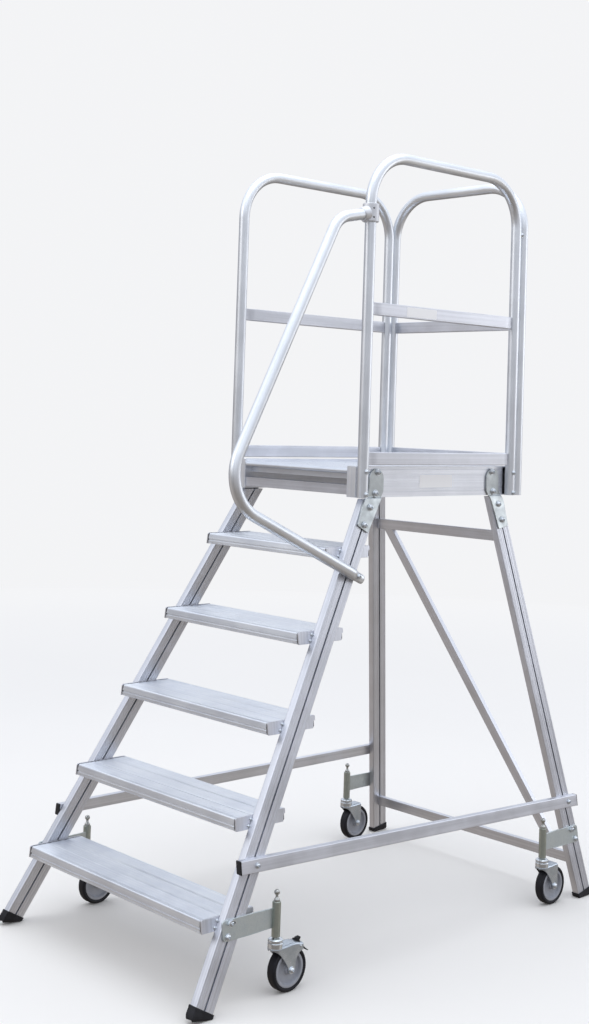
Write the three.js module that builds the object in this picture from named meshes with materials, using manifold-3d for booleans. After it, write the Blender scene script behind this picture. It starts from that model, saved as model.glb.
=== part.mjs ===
// Rolling warehouse ladder: a five-tread podium ladder with a guarded platform,
// standing on four rubber feet beside four spring-loaded, braked swivel castors.
// Millimetres. +Z is up, +Y points away from the person who climbs, +X is their right.
// The origin is on the floor, under the centre of the whole ladder's box.
import * as THREE from 'three';
import { mergeVertices } from 'three/addons/utils/BufferGeometryUtils.js';
import Module from 'manifold-3d';

const wasm = await Module();
wasm.setup();

// ---------------------------------------------------------------- driving dimensions
const GAP = 0.3; // clearance between pieces that touch

const STEP_PITCH = 240;
const TREAD_COUNT = 5;
const CLIMB_ANGLE = THREE.MathUtils.degToRad(60);
const PLATFORM_HEIGHT = STEP_PITCH * (TREAD_COUNT + 1);

// Slotted leg profile, its long side fore and aft.
const PROFILE = { depth: 65, width: 25, wall: 2.2, slotWidth: 7, slotDepth: 6 };
const LEG_TOP = 1345;
const STRINGER = { faceX: 479, footY: -828, splay: 34 / STEP_PITCH, lean: 1 / Math.tan(CLIMB_ANGLE) };
const REAR_LEG = { faceX: 495.7, footY: 832.3, splay: 0.1553, lean: -0.2082 };
// Boots square to their legs. top and legEnd are heights on the leg's centre line; the sole runs from
// front to back as [distance behind the centre line, height].
const FOOT = {
  wall: 3,
  front: { top: 27, legEnd: 20, sole: [[-40.5, 24], [-36, 12], [-24, 3], [-8, 0], [38, 0], [40.5, 2]] },
  rear: { top: 21, legEnd: 12, sole: [[-36.2, 4], [-32, 0], [26, 0], [36.2, 8]] },
};

const TREAD = { depth: 185, height: 34, skin: 5, web: 4, webDrop: 24, bracket: 4.5, lip: 1.5,
  noseRadius: 9, frontOffset: -100 };
const TREAD_RIB = { pitch: 15, groove: 5, depth: 1.5 };

const BEAM = { outerX: 283, width: 41.5, bottom: 1350, top: 1447, front: -117, back: 587, wall: 3 };
const BEAM_RIB = { count: 7, groove: 4, depth: 1.5, margin: 12 };
const REAR_BEAM_DEPTH = 42;
const DECK = { thickness: 35, skin: 8, nose: 17, noseDepth: 30, web: 6, webPitch: 100 };
const FRONT_BAR = { depth: 40, bottom: 1357, top: 1387, setBack: 4 };

// Round tube of the guard hoops and the handrail.
const TUBE = { radius: 17.5, wall: 2, sides: 12 };
const HOOP = { x: 301, frontY: -107, backY: 607, rearY: 643, top: 2419, bottom: 1350, bend: 155 };
const BEND_STEPS = 5;

// Flat rectangular tube of the braces and crossbars; the mid rails and toe boards are a little taller.
const BAR = { height: 36, thickness: 20, wall: 2 };
const RAIL_HEIGHT = 40;
const MID_RAIL_Z = 1936;
const TOE_BOARD_Z = 1471.5;

const PLATE = 5;
const GUSSET = { bandWidth: 60, lobeWidth: 64, lobeTop: 1439, lobeShift: 20, jointHeight: 8,
  frontBandEnd: 1254, rearBandEnd: 1241 };

const CLAMP = { z: 2231, height: 50, outer: 26, socketOuter: 23, socketEnd: -149, socketDrop: 0.213,
  seat: 2, sides: 20, socketSides: 16 };
const HANDRAIL = { startY: -131, topCorner: [-247, 2201], lowCorner: [-698, 1365], end: [-130, 1104],
  clearance: 1 };
const HANDRAIL_BEND = { top: 90, low: 130 };

const LOWER_CROSSBAR_Z = 143;
const UPPER_CROSSBAR_Z = 1228;
const DIAGONAL = { topX: -241, bottomX: 376 };
const BRACE = { frontY: -676, backY: 810, clearance: 0.8 };
const BRACE_HEIGHT = { right: { front: 364, back: 321 }, left: { front: 330, back: 330 } };

const CASTOR = {
  front: { x: 457.5, y: -552 },
  rear: { x: 461.5, y: 633 },
  trail: 45,
  tubeBottom: 158, tubeTop: 255, tubeRadius: 12, tubeBore: 8.9,
  stemRadius: 8.5, stemShoulder: 262, shoulderTaper: 5, neckRadius: 3.6, neckTop: 272,
  ballZ: 280, ballRadius: 8, ballSteps: 6, tubeSides: 20, stemSides: 12,
};
const BRACKET = { bottom: 183, top: 237, frontEndY: -742, backEndY: 818, corner: 12, cornerSteps: 4,
  intoTube: 3 };
const WHEEL = { radius: 62.5, width: 30, boreRadius: 6.4, hubRadius: 14, hubWidth: 30, webWidth: 10,
  rimInner: 44, rimSlope: 2, rimWidth: 26, shoulder: 6, sides: 24 };
const FORK = { headRadius: 21, headTop: 155.4, headSides: 18,
  crownTop: 133, crownBottom: 127, crownFront: -18, crownBack: { braked: 66, plain: 50 },
  armGap: 17, armThickness: 4, eyeRadius: 12,
  armFront: [[-18, 133], [-18, 124], [-6, 118], [5, 108], [15, 96], [28, 80]],
  armBack: {
    braked: [[60, 80], [66, 98], [75, 108], [88, 112], [88, 133]],
    plain: [[59, 80], [60, 98], [60, 133]],
  },
  axleRadius: 6, boltRadius: 9, boltLength: 5, boltSides: 16 };
const PEDAL = { pivotY: 78, pivotZ: 130, hubRadius: 5, hubSides: 14, hubHalfWidth: 14,
  pad: [[74, 131], [76, 139], [88, 142], [90, 138], [84, 131]], padHalfWidth: 6,
  blade: [[78, 133], [75, 128], [96, 112], [104, 103], [120, 95], [119, 98], [106, 108], [83, 130]],
  bladeHalfWidth: 6 };

// ---------------------------------------------------------------- materials
const finish = (color, roughness, metalness) => () =>
  new THREE.MeshStandardMaterial({ color, roughness, metalness });
const aluminium = finish(0xc9cbd2, 0.38, 0.9);
const castAluminium = finish(0xb9bbbe, 0.5, 0.85);
const zinc = finish(0xaeb5ae, 0.42, 0.85);
const blackRubber = finish(0x1d1d20, 0.85, 0);
const blackPlastic = finish(0x1a1a1c, 0.55, 0);
const wheelPlastic = finish(0x6f7075, 0.6, 0);

// ---------------------------------------------------------------- geometry helpers
const AXES = {
  x: [new THREE.Vector3(0, 1, 0), new THREE.Vector3(0, 0, 1), new THREE.Vector3(1, 0, 0)],
  y: [new THREE.Vector3(0, 0, 1), new THREE.Vector3(1, 0, 0), new THREE.Vector3(0, 1, 0)],
  z: [new THREE.Vector3(1, 0, 0), new THREE.Vector3(0, 1, 0), new THREE.Vector3(0, 0, 1)],
};

// A straight prism along an axis. Outlines are [y, z] along x, [x, z] along y and [x, y] along z.
function prism(outline, axis, from, to, holes = []) {
  const points = (loop) => {
    const flat = loop.map(([a, b]) => (axis === 'y' ? new THREE.Vector2(b, a) : new THREE.Vector2(a, b)));
    return THREE.ShapeUtils.isClockWise(flat) ? flat.reverse() : flat;
  };
  const shape = new THREE.Shape(points(outline));
  shape.holes = holes.map((hole) => new THREE.Path(points(hole)));
  const geometry = new THREE.ExtrudeGeometry(shape, { depth: to - from, bevelEnabled: false });
  geometry.translate(0, 0, from);
  return geometry.applyMatrix4(new THREE.Matrix4().makeBasis(...AXES[axis]));
}

const rectangle = (a0, b0, a1, b1) => [[a0, b0], [a1, b0], [a1, b1], [a0, b1]];
const inset = ([a0, b0], [a1, b1], wall) => rectangle(a0 + wall, b0 + wall, a1 - wall, b1 - wall);

function arc(centreA, centreB, radius, fromDegrees, toDegrees, steps) {
  return Array.from({ length: steps + 1 }, (_, i) => {
    const angle = THREE.MathUtils.degToRad(fromDegrees + ((toDegrees - fromDegrees) * i) / steps);
    return [centreA + radius * Math.cos(angle), centreB + radius * Math.sin(angle)];
  });
}

// Moves each vertex by a rule. The rules used here are affine, so flat faces stay flat.
function reshape(geometry, rule) {
  const position = geometry.attributes.position;
  for (let i = 0; i < position.count; i += 1) {
    position.setXYZ(i, ...rule(position.getX(i), position.getY(i), position.getZ(i)));
  }
  return geometry;
}

function solid(geometry) {
  const bare = geometry.clone();
  bare.deleteAttribute('normal');
  bare.deleteAttribute('uv');
  const merged = mergeVertices(bare, 1e-5);
  return new wasm.Manifold(new wasm.Mesh({
    numProp: 3,
    vertProperties: new Float32Array(merged.attributes.position.array),
    triVerts: new Uint32Array(merged.index.array),
  }));
}

function toGeometry(manifold) {
  const mesh = manifold.getMesh();
  const geometry = new THREE.BufferGeometry();
  geometry.setAttribute('position', new THREE.BufferAttribute(mesh.vertProperties, 3));
  geometry.setIndex(new THREE.BufferAttribute(mesh.triVerts, 1));
  return geometry;
}

const join = (...geometries) => toGeometry(geometries.map(solid).reduce((a, b) => a.add(b)));
const cut = (geometry, ...tools) =>
  toGeometry(tools.map(solid).reduce((a, b) => a.subtract(b), solid(geometry)));

function mirrored(geometry) {
  const copy = geometry.index ? geometry.toNonIndexed() : geometry.clone();
  const position = copy.attributes.position;
  for (let i = 0; i < position.count; i += 3) {
    const [a, b, c] = [0, 1, 2].map((k) => new THREE.Vector3().fromBufferAttribute(position, i + k));
    [a, c, b].forEach((v, k) => position.setXYZ(i + k, -v.x, v.y, v.z));
  }
  return copy;
}

function cylinder(radius, from, to, sides, axis = 'z') {
  return prism(arc(0, 0, radius, 0, 360 - 360 / sides, sides - 1), axis, from, to);
}

// A path of straight runs and round corners that is sampled only at its own break points.
class BentPath extends THREE.Curve {
  constructor(corners, radii) {
    super();
    this.places = [];
    this.directions = [];
    const mark = (place, direction) => {
      this.places.push(place);
      this.directions.push(direction);
    };
    const heading = (a, b) => b.clone().sub(a).normalize();
    mark(corners[0], heading(corners[0], corners[1]));
    for (let i = 1; i < corners.length - 1; i += 1) {
      const into = heading(corners[i - 1], corners[i]);
      const out = heading(corners[i], corners[i + 1]);
      const turn = into.angleTo(out);
      const radius = radii[i - 1];
      const start = corners[i].clone().addScaledVector(into, -radius * Math.tan(turn / 2));
      const inward = out.clone().addScaledVector(into, -out.dot(into)).normalize();
      for (let step = 0; step <= BEND_STEPS; step += 1) {
        const angle = (turn * step) / BEND_STEPS;
        const place = start.clone().addScaledVector(into, radius * Math.sin(angle));
        place.addScaledVector(inward, radius * (1 - Math.cos(angle)));
        mark(place, into.clone().multiplyScalar(Math.cos(angle)).addScaledVector(inward, Math.sin(angle)));
      }
    }
    mark(corners.at(-1), heading(corners.at(-2), corners.at(-1)));
  }

  get steps() {
    return this.places.length - 1;
  }

  getPointAt(u, target = new THREE.Vector3()) {
    return target.copy(this.places[Math.round(u * this.steps)]);
  }

  getTangentAt(u, target = new THREE.Vector3()) {
    return target.copy(this.directions[Math.round(u * this.steps)]);
  }
}

function bentTube(corners, radii) {
  const ring = (radius) => arc(0, 0, radius, 0, 360 - 360 / TUBE.sides, TUBE.sides - 1);
  const shape = new THREE.Shape(ring(TUBE.radius).map(([a, b]) => new THREE.Vector2(a, b)));
  shape.holes = [new THREE.Path(ring(TUBE.radius - TUBE.wall).map(([a, b]) => new THREE.Vector2(a, b)))];
  const extrudePath = new BentPath(corners.map((corner) => new THREE.Vector3(...corner)), radii);
  return new THREE.ExtrudeGeometry(shape, { steps: extrudePath.steps, extrudePath, bevelEnabled: false });
}

// A hollow rectangular bar along an axis, between two opposite corners.
function hollowBar(axis, from, to, low, high, wall = BAR.wall) {
  return prism(rectangle(...low, ...high), axis, from, to, [inset(low, high, wall)]);
}

// ---------------------------------------------------------------- the ladder
const ladder = new THREE.Group();

function addPart(name, geometry, material, parent = ladder) {
  const clean = geometry.clone();
  clean.deleteAttribute('uv');
  clean.computeVertexNormals();
  const mesh = new THREE.Mesh(clean, material());
  mesh.name = name;
  parent.add(mesh);
  return mesh;
}

function addPair(name, geometry, material) {
  addPart(`${name}_right`, geometry, material);
  addPart(`${name}_left`, mirrored(geometry), material);
}

const faceX = (leg, z) => leg.faceX - leg.splay * z;
const centreY = (leg, z) => leg.footY + leg.lean * z;
const levelDepth = (leg) => PROFILE.depth * Math.hypot(1, leg.lean);

// Level section of a leg profile: a flat tube with a slot along the middle of each broad face.
function legSection(leg, grow = 0) {
  const halfDepth = levelDepth(leg) / 2 + grow;
  const outer = grow;
  const inner = -PROFILE.width - grow;
  if (grow) {
    return { outline: rectangle(inner, -halfDepth, outer, halfDepth), holes: [] };
  }
  const slot = PROFILE.slotWidth / 2;
  const outline = [
    [inner, -halfDepth], [outer, -halfDepth],
    [outer, -slot], [outer - PROFILE.slotDepth, -slot], [outer - PROFILE.slotDepth, slot], [outer, slot],
    [outer, halfDepth], [inner, halfDepth],
    [inner, slot], [inner + PROFILE.slotDepth, slot], [inner + PROFILE.slotDepth, -slot], [inner, -slot],
  ];
  const { wall } = PROFILE;
  const chamber = (a, b) => rectangle(inner + wall, a, outer - wall, b);
  const holes = [chamber(-halfDepth + wall, -slot - wall), chamber(slot + wall, halfDepth - wall)];
  return { outline, holes };
}

function legPrism(leg, from, to, grow = 0) {
  const { outline, holes } = legSection(leg, grow);
  const upright = prism(outline, 'z', from, to, holes);
  return reshape(upright, (x, y, z) => [x + faceX(leg, z), y + centreY(leg, z), z]);
}

// Everything below a plane square to the leg, which meets its centre line at a height.
function belowSquare(leg, height) {
  const reach = 120;
  const y = centreY(leg, height);
  const rise = leg.lean * reach;
  return prism([[y - reach, height + rise], [y - reach, -300], [y + reach, -300], [y + reach, height - rise]],
    'x', 300, 600);
}

const legSolid = (leg, { legEnd }) => cut(legPrism(leg, 0, LEG_TOP), belowSquare(leg, legEnd));

function foot(leg, { top, legEnd, sole }) {
  const half = levelDepth(leg) / 2 + FOOT.wall;
  const rim = [half, -half].map((s) => [s, top - (leg.lean * s) / (1 + leg.lean ** 2)]);
  const outline = [...sole, ...rim].map(([s, z]) => [centreY(leg, z) + s, z]);
  const block = reshape(prism(outline, 'x', -PROFILE.width - FOOT.wall, FOOT.wall),
    (x, y, z) => [x + faceX(leg, z), y, z]);
  const pocket = cut(legPrism(leg, 0, top + 40, GAP), belowSquare(leg, legEnd - GAP));
  return cut(block, pocket);
}

[['stringer', 'front', STRINGER], ['rear_leg', 'rear', REAR_LEG]].forEach(([name, end, leg]) => {
  addPair(name, legSolid(leg, FOOT[end]), aluminium);
  addPair(`foot_${end}`, foot(leg, FOOT[end]), blackRubber);
});

// ---------------------------------------------------------------- treads
// Open-bottomed tread extrusion with a round nose and a grooved top; z is 0 at the top.
function treadOutline() {
  const { depth, height, skin, web, webDrop, noseRadius } = TREAD;
  const under = [[0, -height], [web * 2, -height], [web * 2, -skin]];
  [depth / 3, (2 * depth) / 3].forEach((y) => {
    under.push([y, -skin], [y, -webDrop], [y + web, -webDrop], [y + web, -skin]);
  });
  under.push([depth - web, -skin], [depth - web, -height], [depth, -height]);
  const top = [[depth, 0]];
  for (let y = depth - TREAD_RIB.pitch; y > TREAD_RIB.pitch; y -= TREAD_RIB.pitch) {
    top.push([y, 0], [y, -TREAD_RIB.depth]);
    top.push([y - TREAD_RIB.groove, -TREAD_RIB.depth], [y - TREAD_RIB.groove, 0]);
  }
  return [...under, ...top, ...arc(noseRadius, -noseRadius, noseRadius, 90, 180, 4)];
}

function tread(index) {
  const z = STEP_PITCH * index;
  const halfWidth = faceX(STRINGER, z) - PROFILE.width - GAP;
  const body = prism(treadOutline(), 'x', -halfWidth + TREAD.bracket / 2, halfWidth - TREAD.bracket / 2);
  const plate = rectangle(0, -TREAD.height - 1, TREAD.depth, TREAD.lip);
  const brackets = [-1, 1].map((side) =>
    prism(plate, 'x', Math.min(side * halfWidth, side * (halfWidth - TREAD.bracket)),
      Math.max(side * halfWidth, side * (halfWidth - TREAD.bracket))));
  const front = centreY(STRINGER, z) + TREAD.frontOffset;
  // The ends lean with the stringers.
  return reshape(join(body, ...brackets), (x, y, dz) => [
    x * (1 - (STRINGER.splay * dz) / halfWidth), y + front, z + dz,
  ]);
}

for (let index = 1; index <= TREAD_COUNT; index += 1) {
  addPart(`tread_${index}`, tread(index), aluminium);
}

// ---------------------------------------------------------------- platform
const beamInnerX = BEAM.outerX - BEAM.width;

function beamOutline() {
  const outer = [];
  const pitch = (BEAM.top - BEAM.bottom - 2 * BEAM_RIB.margin) / (BEAM_RIB.count - 1);
  for (let i = 0; i < BEAM_RIB.count; i += 1) {
    const z = BEAM.bottom + BEAM_RIB.margin + pitch * i;
    const half = BEAM_RIB.groove / 2;
    outer.push([BEAM.outerX, z - half], [BEAM.outerX - BEAM_RIB.depth, z - half]);
    outer.push([BEAM.outerX - BEAM_RIB.depth, z + half], [BEAM.outerX, z + half]);
  }
  return [[beamInnerX, BEAM.bottom], [BEAM.outerX, BEAM.bottom], ...outer, [BEAM.outerX, BEAM.top],
    [beamInnerX, BEAM.top]];
}

const beamHollow = inset([beamInnerX, BEAM.bottom], [BEAM.outerX, BEAM.top], BEAM.wall);
addPair('platform_side_beam', prism(beamOutline(), 'y', BEAM.front, BEAM.back, [beamHollow]), aluminium);

const insideX = beamInnerX - GAP;
addPart('platform_front_crossbar', hollowBar('x', -insideX, insideX,
  [BEAM.front + FRONT_BAR.setBack, FRONT_BAR.bottom],
  [BEAM.front + FRONT_BAR.setBack + FRONT_BAR.depth, FRONT_BAR.top]), aluminium);
addPart('platform_rear_beam', hollowBar('x', -BEAM.outerX, BEAM.outerX,
  [BEAM.back + GAP, BEAM.bottom], [BEAM.back + GAP + REAR_BEAM_DEPTH, BEAM.top], BEAM.wall), aluminium);

// Grooved deck with a round nose, a recess under the nose and webs below.
function deckOutline() {
  const back = BEAM.back - GAP;
  const bottom = PLATFORM_HEIGHT - DECK.thickness;
  const skinBottom = PLATFORM_HEIGHT - DECK.skin;
  const heel = BEAM.front + DECK.noseDepth;
  const under = [[heel, PLATFORM_HEIGHT - DECK.nose], [heel, bottom], [heel + DECK.web, bottom],
    [heel + DECK.web, skinBottom]];
  for (let y = heel + DECK.webPitch; y < back - DECK.webPitch / 2; y += DECK.webPitch) {
    under.push([y, skinBottom], [y, bottom], [y + DECK.web, bottom], [y + DECK.web, skinBottom]);
  }
  under.push([back - DECK.web, skinBottom], [back - DECK.web, bottom], [back, bottom]);
  const top = [[back, PLATFORM_HEIGHT]];
  const pitch = TREAD_RIB.pitch * 2;
  const groove = TREAD_RIB.groove * 2;
  for (let y = back - pitch; y > BEAM.front + pitch; y -= pitch) {
    const floor = PLATFORM_HEIGHT - TREAD_RIB.depth;
    top.push([y, PLATFORM_HEIGHT], [y, floor], [y - groove, floor], [y - groove, PLATFORM_HEIGHT]);
  }
  const radius = DECK.nose / 2;
  return [...under, ...top, ...arc(BEAM.front + radius, PLATFORM_HEIGHT - radius, radius, 90, 270, 6)];
}

addPart('platform_deck', prism(deckOutline(), 'x', -insideX, insideX), aluminium);

// ---------------------------------------------------------------- guard hoops, mid rails and toe boards
function sideHoop() {
  const corners = [[HOOP.x, HOOP.frontY, HOOP.bottom], [HOOP.x, HOOP.frontY, HOOP.top],
    [HOOP.x, HOOP.backY, HOOP.top], [HOOP.x, HOOP.backY, HOOP.bottom]];
  return bentTube(corners, [HOOP.bend, HOOP.bend]);
}

function rearHoop() {
  const corners = [[-HOOP.x, HOOP.rearY, HOOP.bottom], [-HOOP.x, HOOP.rearY, HOOP.top],
    [HOOP.x, HOOP.rearY, HOOP.top], [HOOP.x, HOOP.rearY, HOOP.bottom]];
  return bentTube(corners, [HOOP.bend, HOOP.bend]);
}

addPair('guard_hoop', sideHoop(), aluminium);
addPart('guard_hoop_rear', rearHoop(), aluminium);

const postReach = TUBE.radius + GAP * 2;
const halfBar = [BAR.thickness / 2, BAR.height / 2];
const halfRail = [BAR.thickness / 2, RAIL_HEIGHT / 2];
[['mid_rail', MID_RAIL_Z], ['toe_board', TOE_BOARD_Z]].forEach(([name, z]) => {
  const side = hollowBar('y', HOOP.frontY + postReach, HOOP.backY - postReach,
    [HOOP.x - halfRail[0], z - halfRail[1]], [HOOP.x + halfRail[0], z + halfRail[1]]);
  addPair(name, side, aluminium);
  const rear = hollowBar('x', -HOOP.x + postReach, HOOP.x - postReach,
    [HOOP.rearY - halfRail[0], z - halfRail[1]], [HOOP.rearY + halfRail[0], z + halfRail[1]]);
  addPart(`${name}_rear`, rear, aluminium);
});

// ---------------------------------------------------------------- gusset plates
// A plate in two flat parts: a lobe bolted to the side beam and a band bolted along the leg.
function gusset(leg, bandEnd) {
  const lobeY = centreY(leg, LEG_TOP) + GUSSET.lobeShift * Math.sign(leg.lean);
  const half = GUSSET.lobeWidth / 2;
  const lobeX = BEAM.outerX + GAP;
  const bandX = (z) => faceX(leg, z) + GAP;
  const [low, high] = [LEG_TOP + 2 * GAP, LEG_TOP + GUSSET.jointHeight];
  const lobe = prism([[lobeY - half, low], [lobeY + half, low],
    ...arc(lobeY, GUSSET.lobeTop - half, half, 0, 180, 6)], 'x', lobeX, lobeX + PLATE);
  const joint = prism(rectangle(lobeY - half, low, lobeY + half, high), 'x', lobeX, bandX(low) + PLATE);
  const across = GUSSET.bandWidth / 2;
  const along = new THREE.Vector2(leg.lean, 1).normalize();
  const corner = (side) =>
    [centreY(leg, bandEnd) + side * across * along.y, bandEnd - side * across * along.x];
  const levelHalf = across / along.y;
  const shoulder = (side) => [centreY(leg, high) + side * levelHalf, high];
  const band = prism([corner(-1), corner(1), shoulder(1), shoulder(-1)], 'x', 0, PLATE);
  return join(lobe, joint, reshape(band, (x, y, z) => [x + bandX(z), y, z]));
}

addPair('gusset_front', gusset(STRINGER, GUSSET.frontBandEnd), zinc);
addPair('gusset_rear', gusset(REAR_LEG, GUSSET.rearBandEnd), zinc);

// ---------------------------------------------------------------- handrail and its clamp
// The rail lies in one plane that leans out to the right, from the hoop's post to the stringer's face.
const railFootX = faceX(STRINGER, HANDRAIL.end[1]) + TUBE.radius + HANDRAIL.clearance;
const railLean = (railFootX - HOOP.x) / (CLAMP.z - HANDRAIL.end[1]);
const railPoint = (y, z) => [HOOP.x + (CLAMP.z - z) * railLean, y, z];
const railStartZ = CLAMP.z - (HOOP.frontY - HANDRAIL.startY) * CLAMP.socketDrop;
addPart('handrail_right', bentTube([
  railPoint(HANDRAIL.startY, railStartZ), railPoint(...HANDRAIL.topCorner),
  railPoint(...HANDRAIL.lowCorner), railPoint(...HANDRAIL.end),
], [HANDRAIL_BEND.top, HANDRAIL_BEND.low]), aluminium);

function clamp() {
  const [low, high] = [CLAMP.z - CLAMP.height / 2, CLAMP.z + CLAMP.height / 2];
  const reach = HOOP.frontY - CLAMP.socketEnd;
  const socket = (radius, from, to) => reshape(cylinder(radius, -to, -from, CLAMP.socketSides, 'y'),
    (x, y, z) => [x, y, z + CLAMP.z + y * CLAMP.socketDrop]);
  const body = join(cylinder(CLAMP.outer, low, high, CLAMP.sides), socket(CLAMP.socketOuter, 0, reach));
  const boreRadius = (TUBE.radius + GAP) / Math.cos(Math.PI / TUBE.sides);
  const postBore = cylinder(boreRadius, low - CLAMP.outer, high + CLAMP.outer, TUBE.sides);
  const railBore = socket(boreRadius, TUBE.radius + CLAMP.seat, reach + 1);
  return cut(body, postBore, railBore).translate(HOOP.x, HOOP.frontY, 0);
}

addPart('handrail_clamp', clamp(), castAluminium);

// ---------------------------------------------------------------- braces of the frame
function sideBrace(heights) {
  const run = BRACE.backY - BRACE.frontY;
  const slope = (heights.back - heights.front) / run;
  const frontX = faceX(STRINGER, heights.front) + BRACE.clearance;
  const backX = faceX(REAR_LEG, heights.back) + BRACE.clearance;
  const splay = (STRINGER.splay + REAR_LEG.splay) / 2;
  const bar = hollowBar('y', 0, run, [0, -halfBar[1]], [BAR.thickness, halfBar[1]]);
  return reshape(bar, (x, y, z) => [
    frontX + x + ((backX - frontX) * y) / run - splay * z, BRACE.frontY + y, heights.front + z + slope * y,
  ]);
}

addPart('side_brace_right', sideBrace(BRACE_HEIGHT.right), aluminium);
addPart('side_brace_left', mirrored(sideBrace(BRACE_HEIGHT.left)), aluminium);

// Crossbars and the diagonal lie in the leaning plane of the rear legs.
function crossbar(z) {
  const halfWidth = faceX(REAR_LEG, z) - PROFILE.width - GAP;
  const bar = hollowBar('x', -halfWidth, halfWidth, [-halfBar[0], -halfBar[1]], [halfBar[0], halfBar[1]]);
  return reshape(bar, (x, y, dz) => [
    x * (1 - (REAR_LEG.splay * dz) / halfWidth), y + centreY(REAR_LEG, z + dz), z + dz,
  ]);
}

function diagonal() {
  const [top, bottom] = [UPPER_CROSSBAR_Z - halfBar[1] - GAP, LOWER_CROSSBAR_Z + halfBar[1] + GAP];
  const slope = (DIAGONAL.bottomX - DIAGONAL.topX) / (bottom - top);
  const levelWidth = BAR.height * Math.hypot(1, slope);
  const low = [-levelWidth / 2, -halfBar[0]];
  const high = [levelWidth / 2, halfBar[0]];
  const bar = prism(rectangle(...low, ...high), 'z', bottom, top, [inset(low, high, BAR.wall)]);
  return reshape(bar, (x, y, z) => [
    x + DIAGONAL.bottomX + slope * (z - bottom), y + centreY(REAR_LEG, z), z,
  ]);
}

addPart('rear_crossbar_upper', crossbar(UPPER_CROSSBAR_Z), aluminium);
addPart('rear_crossbar_lower', crossbar(LOWER_CROSSBAR_Z), aluminium);
addPart('rear_diagonal', diagonal(), aluminium);

// ---------------------------------------------------------------- spring castors
// A plate bolted to the leg's outer face carries an upright tube in which the sprung stem slides.
function castorBracket(leg, place, endY) {
  const { bottom, top, corner, cornerSteps } = BRACKET;
  const away = Math.sign(endY - place.y);
  const inner = place.y + away * (CASTOR.tubeRadius - BRACKET.intoTube);
  const quarter = (centreZ, from, to) => arc(0, centreZ, corner, from, to, cornerSteps)
    .map(([y, z]) => [endY + away * (y - corner), z]);
  const outline = [[inner, bottom], ...quarter(bottom + corner, -90, 0), ...quarter(top - corner, 0, 90),
    [inner, top]];
  const plate = reshape(prism(outline, 'x', GAP, GAP + PLATE), (x, y, z) => [x + faceX(leg, z), y, z]);
  const { tubeBottom, tubeTop, tubeRadius, tubeBore, tubeSides } = CASTOR;
  const tube = cylinder(tubeRadius, tubeBottom, tubeTop, tubeSides).translate(place.x, place.y, 0);
  const bore = cylinder(tubeBore, tubeBottom - 1, tubeTop + 1, tubeSides).translate(place.x, place.y, 0);
  return cut(join(plate, tube), bore);
}

function lathe(profile, sides) {
  const geometry = new THREE.LatheGeometry(profile.map(([r, h]) => new THREE.Vector2(r, h)), sides);
  return geometry.rotateX(Math.PI / 2);
}

// Stem with a neck and a ball end; z is measured from the floor.
function castorStem() {
  const { stemRadius, stemShoulder, shoulderTaper, neckRadius, neckTop } = CASTOR;
  const { ballZ, ballRadius, ballSteps } = CASTOR;
  const ballEnd = Math.PI - Math.asin(neckRadius / ballRadius);
  const ball = Array.from({ length: ballSteps }, (_, i) => {
    const angle = ballEnd * (1 - i / ballSteps);
    return [ballRadius * Math.sin(angle), ballZ + ballRadius * Math.cos(angle)];
  });
  return lathe([[0, FORK.headTop + GAP], [stemRadius, FORK.headTop + GAP], [stemRadius, stemShoulder],
    [neckRadius, stemShoulder + shoulderTaper], [neckRadius, neckTop], ...ball, [0, ballZ + ballRadius]],
  CASTOR.stemSides);
}

// Fork on the stem's axis: bearing head, crown plate, two arms and the axle bolt. A braked fork reaches
// farther back, to carry its pedal.
function castorFork(kind) {
  const { headRadius, headTop, crownTop, crownBottom, armGap, armThickness } = FORK;
  const outer = armGap + armThickness;
  const head = cylinder(headRadius, crownBottom, headTop, FORK.headSides);
  const crownOutline = rectangle(FORK.crownFront, crownBottom, FORK.crownBack[kind], crownTop);
  const crown = prism(crownOutline, 'x', -outer, outer);
  const eye = arc(CASTOR.trail, WHEEL.radius, FORK.eyeRadius, 170, 360, 6);
  const armOutline = [...FORK.armFront, ...eye, ...FORK.armBack[kind]];
  const arms = [-outer, armGap].map((x) => prism(armOutline, 'x', x, x + armThickness));
  const along = (radius, reach) => cylinder(radius, -reach, reach, FORK.boltSides, 'x')
    .translate(0, CASTOR.trail, WHEEL.radius);
  const bolt = along(FORK.boltRadius, outer + FORK.boltLength);
  const room = along(FORK.boltRadius + 1, armGap);
  return join(join(head, crown, ...arms), cut(bolt, room), along(FORK.axleRadius, outer));
}

function castorWheel() {
  const { radius, width, boreRadius, hubRadius, hubWidth, webWidth, rimInner, rimSlope, rimWidth, shoulder,
    sides } = WHEEL;
  const half = [[boreRadius, hubWidth / 2], [hubRadius, hubWidth / 2], [hubRadius, webWidth / 2],
    [rimInner, webWidth / 2], [rimInner + rimSlope, rimWidth / 2], [radius - shoulder, width / 2],
    [radius, width / 2 - shoulder]];
  const profile = [...half.map(([r, h]) => [r, -h]), ...half.toReversed()];
  profile.push(profile[0]);
  const geometry = new THREE.LatheGeometry(profile.map(([r, h]) => new THREE.Vector2(r, h)), sides);
  return geometry.rotateZ(Math.PI / 2).translate(0, CASTOR.trail, WHEEL.radius);
}

// Rocker pedal: a short pad above its cross pin at the back of the fork, and a release blade behind it.
function brakePedal() {
  const hub = cylinder(PEDAL.hubRadius, -PEDAL.hubHalfWidth, PEDAL.hubHalfWidth, PEDAL.hubSides, 'x')
    .translate(0, PEDAL.pivotY, PEDAL.pivotZ);
  const pad = prism(PEDAL.pad, 'x', -PEDAL.padHalfWidth, PEDAL.padHalfWidth);
  const blade = prism(PEDAL.blade, 'x', -PEDAL.bladeHalfWidth, PEDAL.bladeHalfWidth);
  return join(hub, pad, blade);
}

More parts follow.
